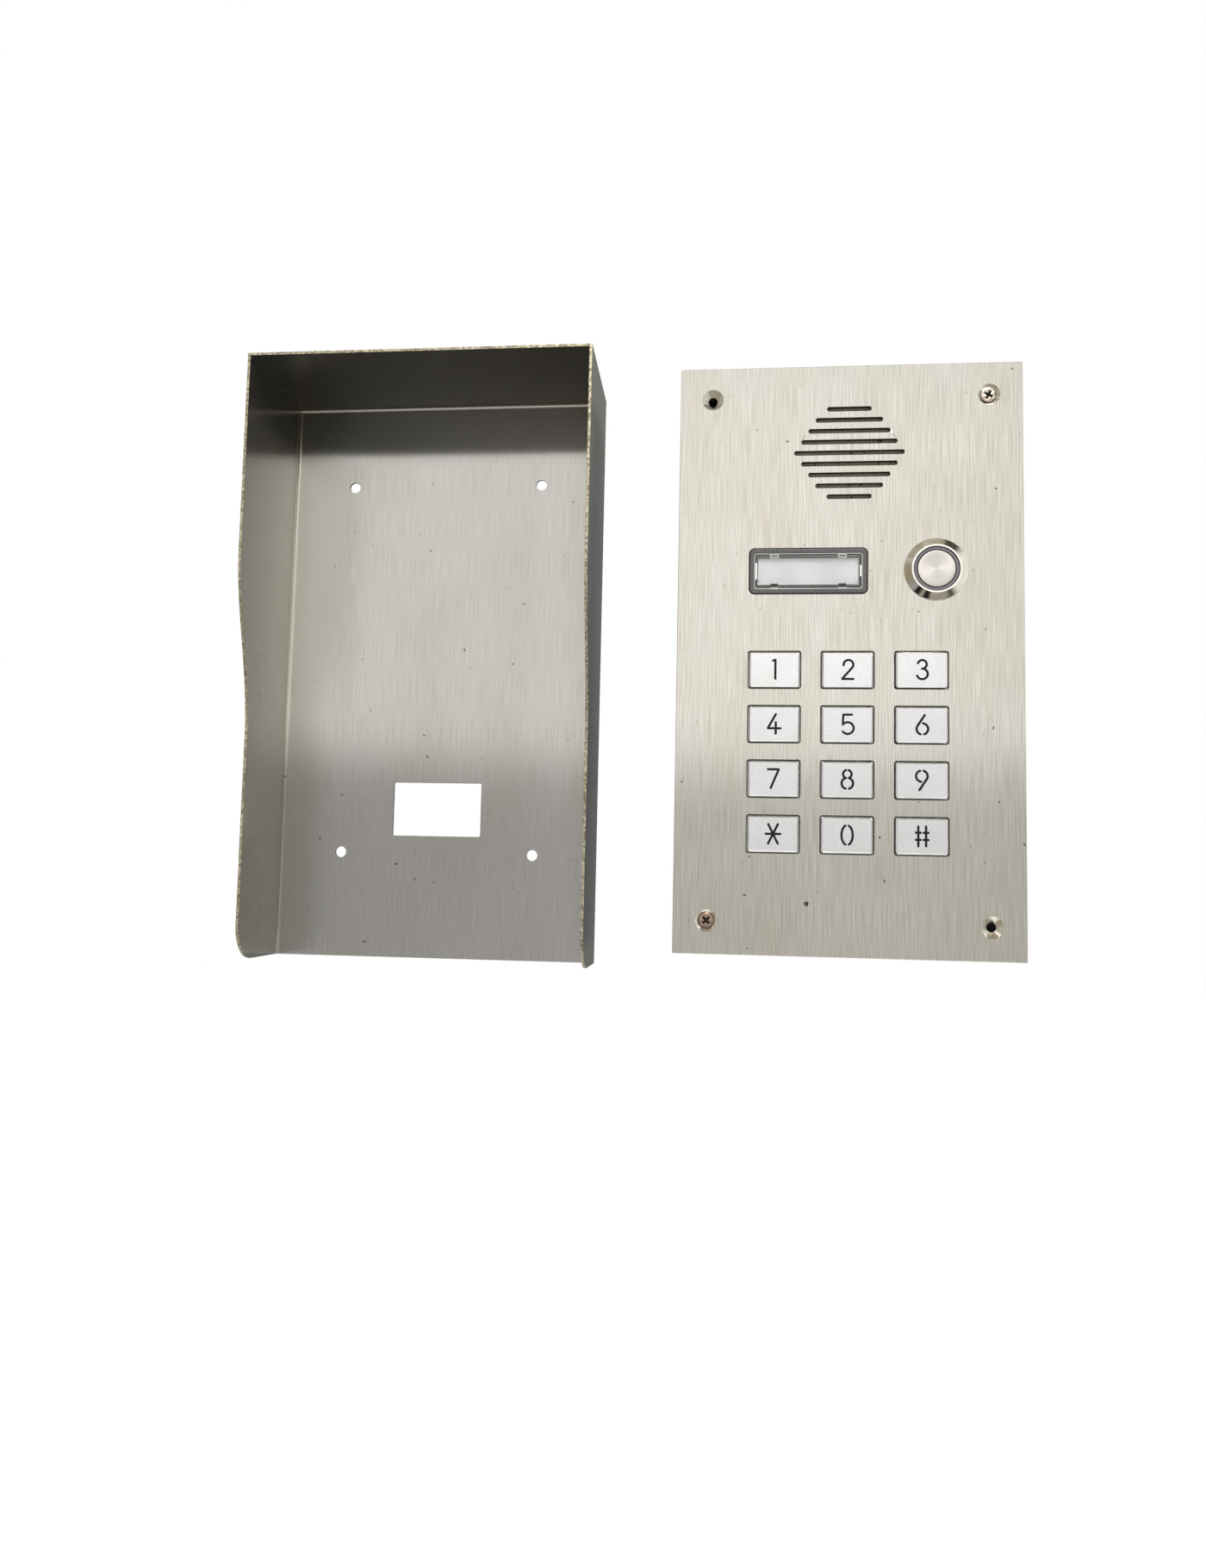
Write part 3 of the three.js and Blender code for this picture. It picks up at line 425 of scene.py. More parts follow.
class Shader(Nodes):
    """A material, its surface node and the object coordinates that its patterns use."""

    def __init__(self, name, **constants):
        self.material = bpy.data.materials.new(name)
        self.material.use_nodes = True
        super().__init__(self.material.node_tree)
        self.surface = self.tree.nodes["Principled BSDF"]
        for socket, value in constants.items():
            self.surface.inputs[socket.replace("_", " ")].default_value = value
        self.place = self.node("ShaderNodeTexCoord").outputs["Object"]

    def set(self, socket, value):
        self.feed(self.surface.inputs[socket], value)

    def bump(self, height, distance, strength=1.0):
        made = self.node("ShaderNodeBump")
        self.feed(made.inputs["Height"], height)
        made.inputs["Distance"].default_value = distance * MM
        made.inputs["Strength"].default_value = strength
        self.set("Normal", made.outputs["Normal"])


def grain_place(shader):
    """Object coordinates with Z along the brushing: up the walls, and front to back on level faces."""
    x, y, z = shader.split(shader.place)
    normal = shader.split(shader.node("ShaderNodeNewGeometry").outputs["Normal"])
    level = shader.math("GREATER_THAN", shader.absolute(normal[2]), 0.7)
    steep = shader.minus(1.0, level)
    along = shader.math("ADD", shader.product(z, steep), shader.product(y, level))
    across = shader.math("ADD", shader.product(y, steep), shader.product(z, level))
    return shader.join(x, across, along)


def hood_marks_and_painted_light(shader, colour):
    """Colours placed by position on the hood, whatever the light and the camera.

    Straw bands are what welding leaves, and the side folds are darker brown, more so towards the roof.
    The rest is painted light and shade that reflections leave out: a painted shadow in the crease under
    the roof at the back, a painted bright strip on the back beside the left wall, a painted grey band
    on the left wall's inside, and painted dark grey on the roof's underside and the left wall's top."""
    low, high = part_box("rain_hood")
    x, y, z = shader.split(shader.place)
    turn = shader.split(shader.node("ShaderNodeNewGeometry").outputs["True Normal"])
    from_roof = shader.minus(high.z - HOOD_SHEET * MM, z)
    off_middle = shader.absolute(shader.minus(x, (low.x + high.x) / 2))
    from_side = shader.minus((high.x - low.x) / 2, off_middle)
    near_back = shader.spread(y, -3.5 * MM, -1 * MM)
    under_roof = shader.product(
        shader.spread(turn[2], -0.8, -0.95),
        shader.spread(from_roof, 2 * MM, 1 * MM),
    )

    waver = shader.product(shader.noise(shader.place, 90.0, 3.0), 12 * MM)
    reach = shader.minus(shader.math("ADD", from_roof, shader.product(from_side, 2.2)), waver)
    corner = shader.spread(reach, 2 * MM, 50 * MM, 1.0, 0.0)
    seam = shader.spread(shader.minus(from_side, shader.product(waver, 0.3)), 0.0, 6 * MM, 1.0, 0.0)
    seam = shader.product(seam, shader.spread(from_roof, 0.0, 120 * MM, 1.0, 0.0))
    straw = shader.product(shader.math("MAXIMUM", corner, seam), near_back, 0.22)
    colour = shader.mix(straw, colour, srgb(178, 156, 112))

    flattest = shader.math("MAXIMUM", shader.absolute(turn[0]), shader.absolute(turn[1]))
    side_fold = shader.product(
        shader.spread(flattest, 0.99, 0.97),
        shader.spread(shader.absolute(turn[2]), 0.2, 0.1),
        shader.spread(from_roof, 130 * MM, 40 * MM, 0.35, 0.8),
    )
    colour = shader.mix(side_fold, colour, srgb(96, 84, 66))

    # Painted shade: dark brown in the crease under the roof at the back.
    painted_crease_shade = shader.product(shader.spread(y, -4.2 * MM, -2.4 * MM), under_roof, 0.75)
    colour = shader.mix(painted_crease_shade, colour, srgb(62, 44, 26))

    lit_height = shader.product(
        shader.spread(from_roof, 14 * MM, 24 * MM),
        shader.spread(from_roof, 120 * MM, 155 * MM, 0.9, 0.0),
    )
    # Painted light: a bright strip on the back beside the left wall, over lit_height.
    painted_light_strip = shader.spread(x, low.x + 6 * MM, low.x + 26 * MM, 1.0, 0.0)
    colour = shader.mix(shader.product(painted_light_strip, near_back, lit_height), colour, srgb(255, 250, 238))

    off_wall = shader.absolute(shader.minus(x, low.x + HOOD_SHEET * MM))
    left_wall = shader.product(
        shader.spread(off_wall, 0.3 * MM, 0.5 * MM, 0.38, 0.0),
        shader.spread(y, -3.5 * MM, -2.5 * MM, 1.0, 0.0),
    )
    # Painted shade: a grey band on the left wall's inside, over the same heights.
    colour = shader.mix(shader.product(left_wall, lit_height), colour, srgb(150, 147, 140))

    # Painted shade: dark grey on the roof's underside, most at the left, and on the left wall's top.
    painted_shade_roof = shader.product(under_roof, shader.spread(x, low.x, low.x + 100 * MM, 0.75, 0.15))
    painted_shade_wall_top = shader.product(left_wall, shader.spread(from_roof, 14 * MM, 24 * MM, 1.4, 0.0))
    return shader.mix(shader.math("MAXIMUM", painted_shade_roof, painted_shade_wall_top), colour, srgb(88, 90, 92))


def brushed_steel(name, light, dark, roughness, streaks, specks, relief, painted_light_and_marks=None):
    """Stainless sheet brushed one way, with fine scratches, cloudy patches and small dark pits."""
    shader = Shader(name, Metallic=1.0, Anisotropic=1.0)
    place = grain_place(shader)
    fine = shader.noise(shader.stretch(place, FINE_GRAIN), 1.0, 1.0)
    medium = shader.noise(shader.stretch(place, MEDIUM_GRAIN), 1.0, 2.0)
    cloud = shader.noise(shader.stretch(place, CLOUDS), 1.0, 3.0)
    lines = shader.math("ADD", shader.product(fine, 0.88), shader.product(medium, 0.12))
    colour = shader.mix(shader.spread(lines, 0.5 - streaks, 0.5 + streaks), dark, light)
    clouding = shader.spread(cloud, 0.35, 0.7, 0.0, 0.3)
    colour = shader.mix(clouding, colour, srgb(236, 232, 222), "MULTIPLY")
    scratches = shader.noise(shader.stretch(place, SCRATCHES), 1.0, 1.0)
    zone = shader.noise(shader.place, 70.0, 2.0)
    scratch = shader.product(shader.spread(scratches, 0.68, 0.76), shader.spread(zone, 0.4, 0.6), specks)
    colour = shader.mix(scratch, colour, srgb(128, 118, 100))
    pit = shader.spread(shader.noise(shader.place, 600.0, 0.0), 0.87, 0.90, 0.0, 0.8)
    colour = shader.mix(pit, colour, srgb(60, 54, 48))
    # On the hood this adds colours placed by position, painted light and shade among them.
    shader.set("Base Color", painted_light_and_marks(shader, colour) if painted_light_and_marks else colour)
    shader.set("Roughness", shader.spread(lines, 0.3, 0.7, roughness + 0.01, roughness - 0.01))
    shader.set("Tangent", shader.join(1.0, 0.05, 0.0))
    shader.bump(lines, 0.01, relief)
    return shader


def cut_edge():
    """The raw sheared edge of the hood's sheet: pale yellow metal with dark pits."""
    shader = Shader("raw_edge", Metallic=0.7)
    coarse = shader.noise(shader.place, 1300.0, 3.0, 0.65)
    colour = shader.mix(shader.spread(coarse, 0.4, 0.6), srgb(118, 110, 90), srgb(190, 182, 156))
    shader.set("Base Color", colour)
    shader.set("Roughness", shader.spread(coarse, 0.3, 0.7, 0.6, 0.4))
    shader.bump(coarse, 0.12, 0.6)
    return shader


def satin_key():
    """Cast key face, blasted to a fine silver grain."""
    shader = Shader("key_satin", Metallic=1.0)
    grain = shader.noise(shader.place, 2600.0, 2.0)
    cloud = shader.noise(shader.place, 120.0, 2.0)
    colour = shader.mix(shader.spread(grain, 0.3, 0.7), srgb(220, 221, 221), srgb(242, 242, 242))
    colour = shader.mix(shader.spread(cloud, 0.3, 0.7, 0.0, 0.4), colour, srgb(224, 222, 218))
    shader.set("Base Color", colour)
    shader.set("Roughness", shader.spread(grain, 0.3, 0.7, 0.48, 0.4))
    shader.bump(grain, 0.03, 0.4)
    return shader


def polished_metal(name, colour, roughness):
    """Bright metal with faint wipe marks."""
    shader = Shader(name, Metallic=1.0)
    wipe = shader.noise(shader.place, 260.0, 3.0)
    fine = shader.noise(shader.place, 2200.0, 2.0)
    deep = tuple(channel * 0.86 for channel in colour[:3]) + (1,)
    shader.set("Base Color", shader.mix(shader.spread(wipe, 0.35, 0.7), deep, colour))
    shader.set("Roughness", shader.spread(fine, 0.3, 0.7, roughness + 0.04, roughness))
    shader.bump(fine, 0.005, 0.2)
    return shader


def spun_metal():
    """The call button's cap, faced on a lathe: rings round its middle."""
    shader = Shader("button_spun", Metallic=1.0, Anisotropic=0.4)
    middle = centre("call_button_cap") * MM
    x, _, z = shader.split(shader.place)
    dx = shader.minus(x, middle.x)
    dz = shader.minus(z, middle.z)
    radius = shader.math("SQRT", shader.math("ADD", shader.product(dx, dx), shader.product(dz, dz)))
    rings = shader.noise(shader.join(radius, 0.0, 0.0), 5200.0, 3.0)
    colour = shader.mix(shader.spread(rings, 0.3, 0.7), srgb(200, 194, 186), srgb(220, 215, 207))
    shader.set("Base Color", colour)
    shader.set("Roughness", shader.spread(rings, 0.3, 0.7, 0.34, 0.26))
    tangent = shader.node("ShaderNodeTangent", direction_type="RADIAL", axis="Y")
    shader.set("Tangent", tangent.outputs[0])
    shader.bump(rings, 0.01, 0.3)
    return shader


def moulded(name, colour, roughness, grain=900.0, depth=0.02, **constants):
    """A moulded plastic or rubber: fine texture, slight colour drift and uneven gloss."""
    shader = Shader(name, **constants)
    fine = shader.noise(shader.place, grain, 3.0)
    cloud = shader.noise(shader.place, 45.0, 3.0)
    dusty = tuple(min(1.0, channel * 1.18 + 0.004) for channel in colour[:3]) + (1,)
    shader.set("Base Color", shader.mix(shader.spread(cloud, 0.35, 0.7), colour, dusty))
    shader.set("Roughness", shader.spread(fine, 0.3, 0.7, roughness - 0.05, roughness + 0.06))
    shader.bump(fine, depth, 0.4)
    return shader


def cast_metal(name, colour, roughness, metallic=1.0):
    """Plated or painted metal with a fine orange peel."""
    return moulded(name, colour, roughness, 500.0, 0.03, Metallic=metallic)


def clear_cover():
    """Acrylic with a faint smear."""
    shader = Shader("clear_cover", Transmission_Weight=1.0, IOR=1.49)
    smear = shader.noise(shader.place, 90.0, 3.0)
    colour = shader.mix(shader.spread(smear, 0.3, 0.7), srgb(244, 245, 246), srgb(250, 250, 250))
    shader.set("Base Color", colour)
    shader.set("Roughness", shader.spread(smear, 0.3, 0.7, 0.02, 0.06))
    return shader


def woven_sheet():
    """Grey dust cloth behind the speaker slots: over-and-under threads."""
    shader = Shader("dust_cloth", Roughness=0.85)
    x, _, z = shader.split(shader.place)
    thread = 2 * math.pi / (THREAD_PITCH * MM)
    weave = shader.product(*(shader.math("SINE", shader.product(value, thread)) for value in (x, z)))
    lint = shader.noise(shader.place, 700.0, 3.0)
    cloth = shader.mix(shader.spread(weave, -0.6, 0.6), srgb(112, 104, 92), srgb(176, 166, 150))
    shader.set("Base Color", shader.mix(shader.spread(lint, 0.6, 0.66), cloth, srgb(70, 62, 54)))
    shader.bump(weave, 0.05, 0.5)
    return shader


STEEL = brushed_steel(
    "panel_brushed",
    light=srgb(235, 231, 220),
    dark=srgb(211, 206, 194),
    roughness=0.21,
    streaks=0.26,
    specks=0.5,
    relief=0.12,
)
# The hood's steel carries painted light and shade placed by position.
HOOD_STEEL = brushed_steel(
    "hood_brushed",
    light=srgb(207, 204, 198),
    dark=srgb(194, 191, 184),
    roughness=0.2,
    streaks=0.3,
    specks=0.1,
    relief=0.04,
    painted_light_and_marks=hood_marks_and_painted_light,
)
# Dark brown walls inside cut openings: partly the oxide of laser cutting, partly painted shade in the
# openings.
CUT_WALL = moulded("cut_wall", srgb(48, 43, 37), 0.5, 700.0, 0.05, Metallic=0.5)
# Dark sides of the keys, in the gap round each key: painted shade.
KEY_SIDE = moulded("key_side", srgb(58, 56, 53), 0.5, 700.0, 0.05, Metallic=0.5)
BUTTON_EDGE = polished_metal("button_edge", srgb(206, 199, 189), 0.52)
# A lighter, rougher copy of the bezel's polished steel for its flat lip: a painted highlight.
BEZEL_LIP = polished_metal("bezel_lip", srgb(248, 244, 232), 0.18)
# Dark brown faces of the screws' cross recess: painted shade.
RECESS = moulded("screw_recess", srgb(62, 52, 44), 0.5, 900.0, 0.03, Metallic=0.7)
RAW_EDGE = cut_edge()
KEY_SATIN = satin_key()
KEY_EDGE = polished_metal("key_edge", srgb(236, 236, 234), 0.2)
BUTTON_SPUN = spun_metal()
POLISHED = polished_metal("bezel_polished", srgb(236, 231, 218), 0.08)
SCREW_METAL = polished_metal("screw_nickel", srgb(192, 179, 164), 0.24)
# A browner, darker copy of the screw metal, for the bottom-left screw.
BROWNER_SCREW = polished_metal("screw_browner", srgb(176, 154, 134), 0.24)
NICKEL = polished_metal("insert_nickel", srgb(214, 208, 196), 0.25)
ENAMEL = moulded("black_enamel", srgb(10, 9, 10), 0.6, 1600.0, 0.01, Specular_IOR_Level=0.25)
CLEAR = clear_cover()
FRAME_GREY = moulded("window_frame", srgb(66, 66, 65), 0.3, 1200.0, 0.01)
# Pale grey of the window's clips and tabs, and a painted highlight along the frame's step.
PALE_GREY_AND_STEP_HIGHLIGHT = moulded("window_pale_grey_and_step_highlight", srgb(164, 162, 158), 0.3, 1200.0, 0.01)
LIP_GREY = moulded("window_lip_grey", srgb(78, 78, 76), 0.3, 1200.0, 0.01)
# Black of the window's hooks, and painted shade in the frame's groove.
CLIP_BLACK_AND_GROOVE_SHADE = moulded("window_clip", srgb(22, 21, 20), 0.4, 1200.0, 0.01)
CARD = moulded("white_card", srgb(248, 249, 250), 0.7, 1800.0, 0.005)
RING = moulded("light_ring", srgb(96, 91, 96), 0.35, 1200.0, 0.01)
DUST_CLOTH = woven_sheet()

BY_SLOT = {
    "brushed_steel": STEEL,
    "key_metal": KEY_SATIN,
    "button_steel": BUTTON_SPUN,
    "polished_steel": POLISHED,
    "screw_steel": SCREW_METAL,
    "plain_steel": cast_metal("plain_steel", srgb(168, 167, 163), 0.4),
    "box_paint": cast_metal("box_paint", srgb(158, 160, 160), 0.5, 0.35),
    "brass": NICKEL,
    "rubber": moulded("rubber_black", srgb(44, 44, 45), 0.8),
    "silicone": moulded("silicone_mat", srgb(196, 198, 195), 0.65),
    "black_plastic": moulded("black_plastic", srgb(30, 31, 33), 0.5),
    "clear_plastic": CLEAR,
    "white_card": CARD,
    "ring_plastic": RING,
    "dust_sheet": DUST_CLOTH,
    "cone_paper": moulded("cone_paper", srgb(42, 39, 35), 0.9, 700.0, 0.06),
    "board_green": moulded("board_green", srgb(31, 90, 58), 0.4, 800.0, 0.02),
    "terminal_green": moulded("terminal_green", srgb(59, 143, 79), 0.45),
}


def node_slots():
    """The record's material slot of each CAD node."""
    return {part["node"]: part["material_slot"] for part in frame["record"]["subparts"]}


def dress(obj, *shaders):
    obj.data.materials.clear()
    for shader in shaders:
        obj.data.materials.append(shader.material)


def place_piece(obj, body, slot, *nodes):
    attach(obj, body)
    if nodes:
        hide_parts(*nodes)


# ---- Front panel ----

KEYS = {
    "1": "key_1", "2": "key_2", "3": "key_3",
    "4": "key_4", "5": "key_5", "6": "key_6",
    "7": "key_7", "8": "key_8", "9": "key_9",
    "star": "key_star", "0": "key_0", "hash": "key_hash",
}
CORNERS = ("top_left", "top_right", "bottom_left", "bottom_right")


def make_panel():
    low, high = (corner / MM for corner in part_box("front_panel"))
    middle = (low + high) / 2
    outlines = [rectangle(middle.x, middle.z, high.x - low.x, high.z - low.z, PANEL_CORNER, 4)]
    speaker = centre("speaker_dust_sheet")
    for index, length in enumerate(SLOT_LENGTHS):
        z = speaker.z + (len(SLOT_LENGTHS) // 2 - index) * SLOT_PITCH
        outlines.append(rectangle(speaker.x, z, length, SLOT_HEIGHT, SLOT_HEIGHT / 2 - 0.01))
    window = centre("name_window")
    outlines.append(rectangle(window.x, window.z, *WINDOW_SIZE, WINDOW_CORNER))
    for node in KEYS.values():
        key = centre(node)
        outlines.append(rectangle(key.x, key.z, *KEY_OPENING, KEY_CORNER))
    button = centre("call_button_housing")
    outlines.append(circle(button.x, button.z, BUTTON_HOLE, 96))
    mic = centre("mic_capsule")
    outlines.append(circle(mic.x, mic.z, MIC_HOLE, 24))
    panel = slab("panel_face", outlines, FACE, FACE + PANEL_SHEET, PANEL_EDGE, 0)
    for corner in CORNERS:
        hole = centre("insert_" + corner)
        profile = [
            (0, FACE - 1),
            (COUNTERSINK_MOUTH + COUNTERSINK_LIP + 1, FACE - 1),
            (COUNTERSINK_MOUTH + COUNTERSINK_LIP, FACE),
            (COUNTERSINK_MOUTH, FACE + COUNTERSINK_LIP),
            (COUNTERSINK_HOLE, FACE + COUNTERSINK_MOUTH - COUNTERSINK_HOLE - 0.25),
            (COUNTERSINK_HOLE, FACE + PANEL_SHEET + 1),
            (0, FACE + PANEL_SHEET + 1),
        ]
        combine(panel, turned("countersink", profile, hole.x, hole.z, 64))
    smooth(panel, 20)
    dress(panel, STEEL, CUT_WALL)
    # Walls inside the openings get the dark cut wall: partly laser-cut oxide, partly painted shade.
    for face in panel.data.polygons:
        inside = abs(face.center.x) < high.x * MM * 0.98 and abs(face.center.z) < high.z * MM * 0.98
        deep = face.center.y > (FACE + 2 * PANEL_EDGE) * MM
        if inside and deep and abs(face.normal.y) < 0.3:
            face.material_index = 1
    place_piece(panel, "panel_unit", "brushed_steel", "front_panel")


make_panel()

# ---- Keys, with engraved and enamelled characters ----


def mirrored(points):
    return [(-x, z) for x, z in points]


def turned_over(points):
    return [(-x, -z) for x, z in points]


def glyphs():
    """Centre lines of each character's strokes, in millimetres from the key's middle."""
    high, side = 3.35, 1.3
    six = [
        [(0.9, high), *arc(0.1, -1.45, 1.95, 152, 252, 14)],
        arc(0.1, -1.45, 1.95, -72, 84, 18),
    ]
    eight = [arc(0, 1.85, 1.45, 108, 250, 14), arc(0, -1.35, 1.95, 118, 252, 14)]
    zero = [(x * 0.56, z) for x, z in arc(0, 0, 3.4, 108, 252, 20)]
    ticks = [[(s * side - 0.8, z), (s * side + 0.8, z)] for s in (-1, 1) for z in (1.25, -1.2)]
    return {
        "1": [[(-0.55, 3.1), (0.3, high)], [(0.3, high), (0.3, -high)]],
        "2": [[*arc(0.25, 1.7, 1.65, 186, -36, 22), (-1.85, -3.25)], [(-1.85, -high), (1.9, -high)]],
        "3": [arc(0.1, 1.85, 1.5, 165, -92, 22), arc(0.1, -1.5, 1.85, 92, -160, 22)],
        "4": [[(0.6, high), (-2.1, -1.55)], [(-2.1, -1.6), (2.2, -1.6)], [(0.6, 0.5), (0.6, -3.5)]],
        "5": [
            [(1.5, high), (-1.45, high)],
            [(-1.45, high), (-1.6, 0.45)],
            arc(0.05, -1.35, 2.05, 143, -143, 24),
        ],
        "6": six,
        "7": [[(-1.95, 3.25), (1.8, 3.25)], [(1.8, 3.25), (-0.95, -3.3)]],
        "8": [*eight, *[mirrored(line) for line in eight]],
        "9": [turned_over(line) for line in six],
        "star": [[(-1.65, high), (1.65, -high)], [(1.65, high), (-1.65, -high)], [(-2.5, 0), (2.5, 0)]],
        "0": [zero, mirrored(zero)],
        "hash": [[(-side, high), (-side, -high)], [(side, high), (side, -high)], *ticks],
    }


def make_key(node, lines):
    low, high = (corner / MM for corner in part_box(node))
    x, _, z = (low + high) / 2
    width, height = (size - 2 * KEY_CLEARANCE for size in KEY_OPENING)
    face = FACE - KEY_PROUD
    back = FACE + PANEL_SHEET + KEY_FLANGE_GAP
    outline = rectangle(x, z, width, height, KEY_CORNER, 6)
    cap = slab(node + "_cap", [outline], face, back + KEY_CAP_OVERLAP, KEY_CHAMFER, 0)
    outline = rectangle(x, z, high.x - low.x, high.z - low.z, KEY_FLANGE_CORNER, 4)
    flange = slab("flange", [outline], back, high.y - KEY_STEM, KEY_FLANGE_EDGE, 1)
    combine(cap, flange, "UNION")
    body = node + "_body"
    enamel = None
    for points in lines:
        line = [(x + px, z + pz) for px, pz in points]
        bottom = face + ENGRAVING_DEPTH
        combine(cap, stroke("groove", line, ENGRAVING_WIDTH, face - 1, bottom))
        fill = stroke(node + "_enamel", line, ENGRAVING_WIDTH - ENAMEL_GAP, face + ENAMEL_SUNK, bottom)
        enamel = combine(enamel, fill, "UNION") if enamel else fill
    smooth(cap, 24)
    dress(cap, KEY_SATIN, KEY_EDGE, KEY_SIDE)
    # Key sides behind the chamfer get the dark key side: painted shade in the gap.
    for polygon in cap.data.polygons:
        facing = -polygon.normal.y
        if polygon.center.y < (face + KEY_CHAMFER) * MM and 0.3 < facing < 0.95:
            polygon.material_index = 1
        elif polygon.center.y > (face + KEY_CHAMFER) * MM and facing < 0.3:
            polygon.material_index = 2
    place_piece(cap, body, "key_metal", node)
    dress(enamel, ENAMEL)
    place_piece(enamel, body, "black_plastic")


for key_name, character in glyphs().items():
    make_key(KEYS[key_name], character)

# ---- Call button ----


def make_call_button():
    x, _, z = centre("call_button_housing")
    low, high = (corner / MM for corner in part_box("call_button_housing"))
    bezel_radius = (high.x - low.x) / 2
    top = low.y
    seat = FACE - BEZEL_SEAT
    housing_profile = [
        (bezel_radius, seat),
        (bezel_radius - 0.04, seat - 0.04),
        (BEZEL_LIP_RADIUS, top + 0.03),
        (BEZEL_LIP_RADIUS - 0.06, top),
        (BEZEL_BORE + 0.06, top),
        (BEZEL_BORE, top + 0.06),
        (BEZEL_BORE, high.y),
        (BEZEL_BARREL, high.y),
        (BEZEL_BARREL, seat),
    ]
    housing = smooth(turned("call_button_bezel", housing_profile, x, z, TURNED_STEPS), 12)
    dress(housing, POLISHED, BEZEL_LIP)
    # The flat lip at the bezel's top gets the lighter copy: a painted highlight.
    for face in housing.data.polygons:
        if face.normal.y < -0.5 and face.center.y < (top + 0.1) * MM:
            face.material_index = 1
    place_piece(housing, "panel_unit", "polished_steel", "call_button_housing")

    ring_low, ring_high = (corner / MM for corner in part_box("call_button_ring"))
    outer = (ring_high.x - ring_low.x) / 2
    cap_low, cap_high = (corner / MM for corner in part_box("call_button_cap"))
    cap_radius = (cap_high.x - cap_low.x) / 2
    inner = cap_radius + 0.3
    ring_profile = [
        (inner, ring_low.y + 0.1),
        (inner + 0.1, ring_low.y),
        (outer - 0.1, ring_low.y),
        (outer, ring_low.y + 0.1),
        (outer, ring_high.y),
        (inner, ring_high.y),
    ]
    ring = smooth(turned("call_button_light_ring", ring_profile, x, z, TURNED_STEPS), 28)
    dress(ring, RING)
    place_piece(ring, "panel_unit", "ring_plastic", "call_button_ring")

    flat = cap_radius - CAP_EDGE
    bend = [(flat + px, cap_low.y + CAP_EDGE - pz) for px, pz in arc(0, 0, CAP_EDGE, 90, 0, 5)]
    cap_profile = [
        (0, cap_low.y + CAP_DISH),
        (1.2, cap_low.y + CAP_DISH * 0.95),
        (3.0, cap_low.y + CAP_DISH * 0.7),
        (4.8, cap_low.y + CAP_DISH * 0.3),
        *bend,
        (cap_radius, cap_low.y + CAP_SKIRT),
        (CAP_STEM, cap_low.y + CAP_SKIRT),
        (CAP_STEM, cap_high.y),
        (0, cap_high.y),
    ]
    cap = smooth(turned("call_button_face", cap_profile, x, z, TURNED_STEPS), 28)
    dress(cap, BUTTON_SPUN, BUTTON_EDGE)
    for face in cap.data.polygons:
        if math.hypot(face.center.x - x * MM, face.center.z - z * MM) > flat * MM:
            face.material_index = 1
    place_piece(cap, "call_button", "button_steel", "call_button_cap")


make_call_button()

# ---- Name window: clear cover over a grey frame with four clips ----


def make_name_window():
    low, high = (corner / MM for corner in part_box("name_window"))
    x, _, z = (low + high) / 2
    card_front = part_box("name_card")[0].y / MM
    width, height = (size - 2 * WINDOW_GAP for size in WINDOW_SIZE)
    shown = (CARD_SIZE[0] - 0.9, CARD_SIZE[1] - 0.1)
    pane = rectangle(x, z, *(size - 0.06 for size in shown), 0.2)
    cover = slab("window_cover", [pane], low.y + 0.6, card_front - WINDOW_GAP, 0.1, 2)
    smooth(cover, 24)
    dress(cover, CLEAR)
    place_piece(cover, "panel_unit", "clear_plastic", "name_window")

    back = card_front - 0.04
    edges = [rectangle(x, z, width, height, WINDOW_CORNER - WINDOW_GAP)]
    for less_width, less_height, corner in WINDOW_EDGES:
        edges.append(rectangle(x, z, width - less_width, height - less_height, corner))
    edges.append(rectangle(x, z, *shown, 0.2))
    rings = (
        # name, finish, how far it is sunk, y of its back
        ("window_frame", FRAME_GREY, 0, high.y),
        # The step's pale grey is a painted highlight, and the groove's black is painted shade.
        ("window_step", PALE_GREY_AND_STEP_HIGHLIGHT, 0.2, high.y - 1),
        ("window_groove", CLIP_BLACK_AND_GROOVE_SHADE, 0.5, back),
        ("window_lip", LIP_GREY, 0.3, back),
    )
    for index, (name, shader, sunk, far) in enumerate(rings):
        ring = slab(name, edges[2 * index : 2 * index + 2], low.y + sunk, far, 0.08, 1)
        dress(smooth(ring, 30), shader)
        place_piece(ring, "panel_unit", "clear_plastic")

    edge = shown[1] / 2
    for side, word in ((-1, "left"), (1, "right")):
        x_clip = side * CLIP_REACH
        x_painted_glint = side * (shown[0] / 2 + 0.6)
        for name, finish, slot, dx, dz, size, sunk in (
            ("window_clip_top_", PALE_GREY_AND_STEP_HIGHLIGHT, "clear_plastic", x_clip, edge + 0.55, (3, 1.2), 0.16),
            ("window_hook_top_", CLIP_BLACK_AND_GROOVE_SHADE, "black_plastic", x_clip, edge + 0.6, (2.2, 0.5), 0.12),
            ("window_hook_low_", CLIP_BLACK_AND_GROOVE_SHADE, "black_plastic", x_clip, -edge - 0.35, (2.6, 1.3), 0.1),
            ("window_tab_", PALE_GREY_AND_STEP_HIGHLIGHT, "clear_plastic", x_clip, -edge - 1.6, (2.9, 1.1), 0.14),
            # White bars beside the card: painted highlights.
            ("window_painted_glint_", CARD, "white_card", x_painted_glint, 0, (0.4, 5 - side), 0.2),
        ):
            outline = rectangle(x + dx, z + dz, *size, 0.12, 3)
            bar = slab(name + word, [outline], low.y + sunk, back, 0.05, 1)
            dress(smooth(bar, 30), finish)
            place_piece(bar, "panel_unit", slot)


make_name_window()

# ---- Corner screws with a cross recess ----


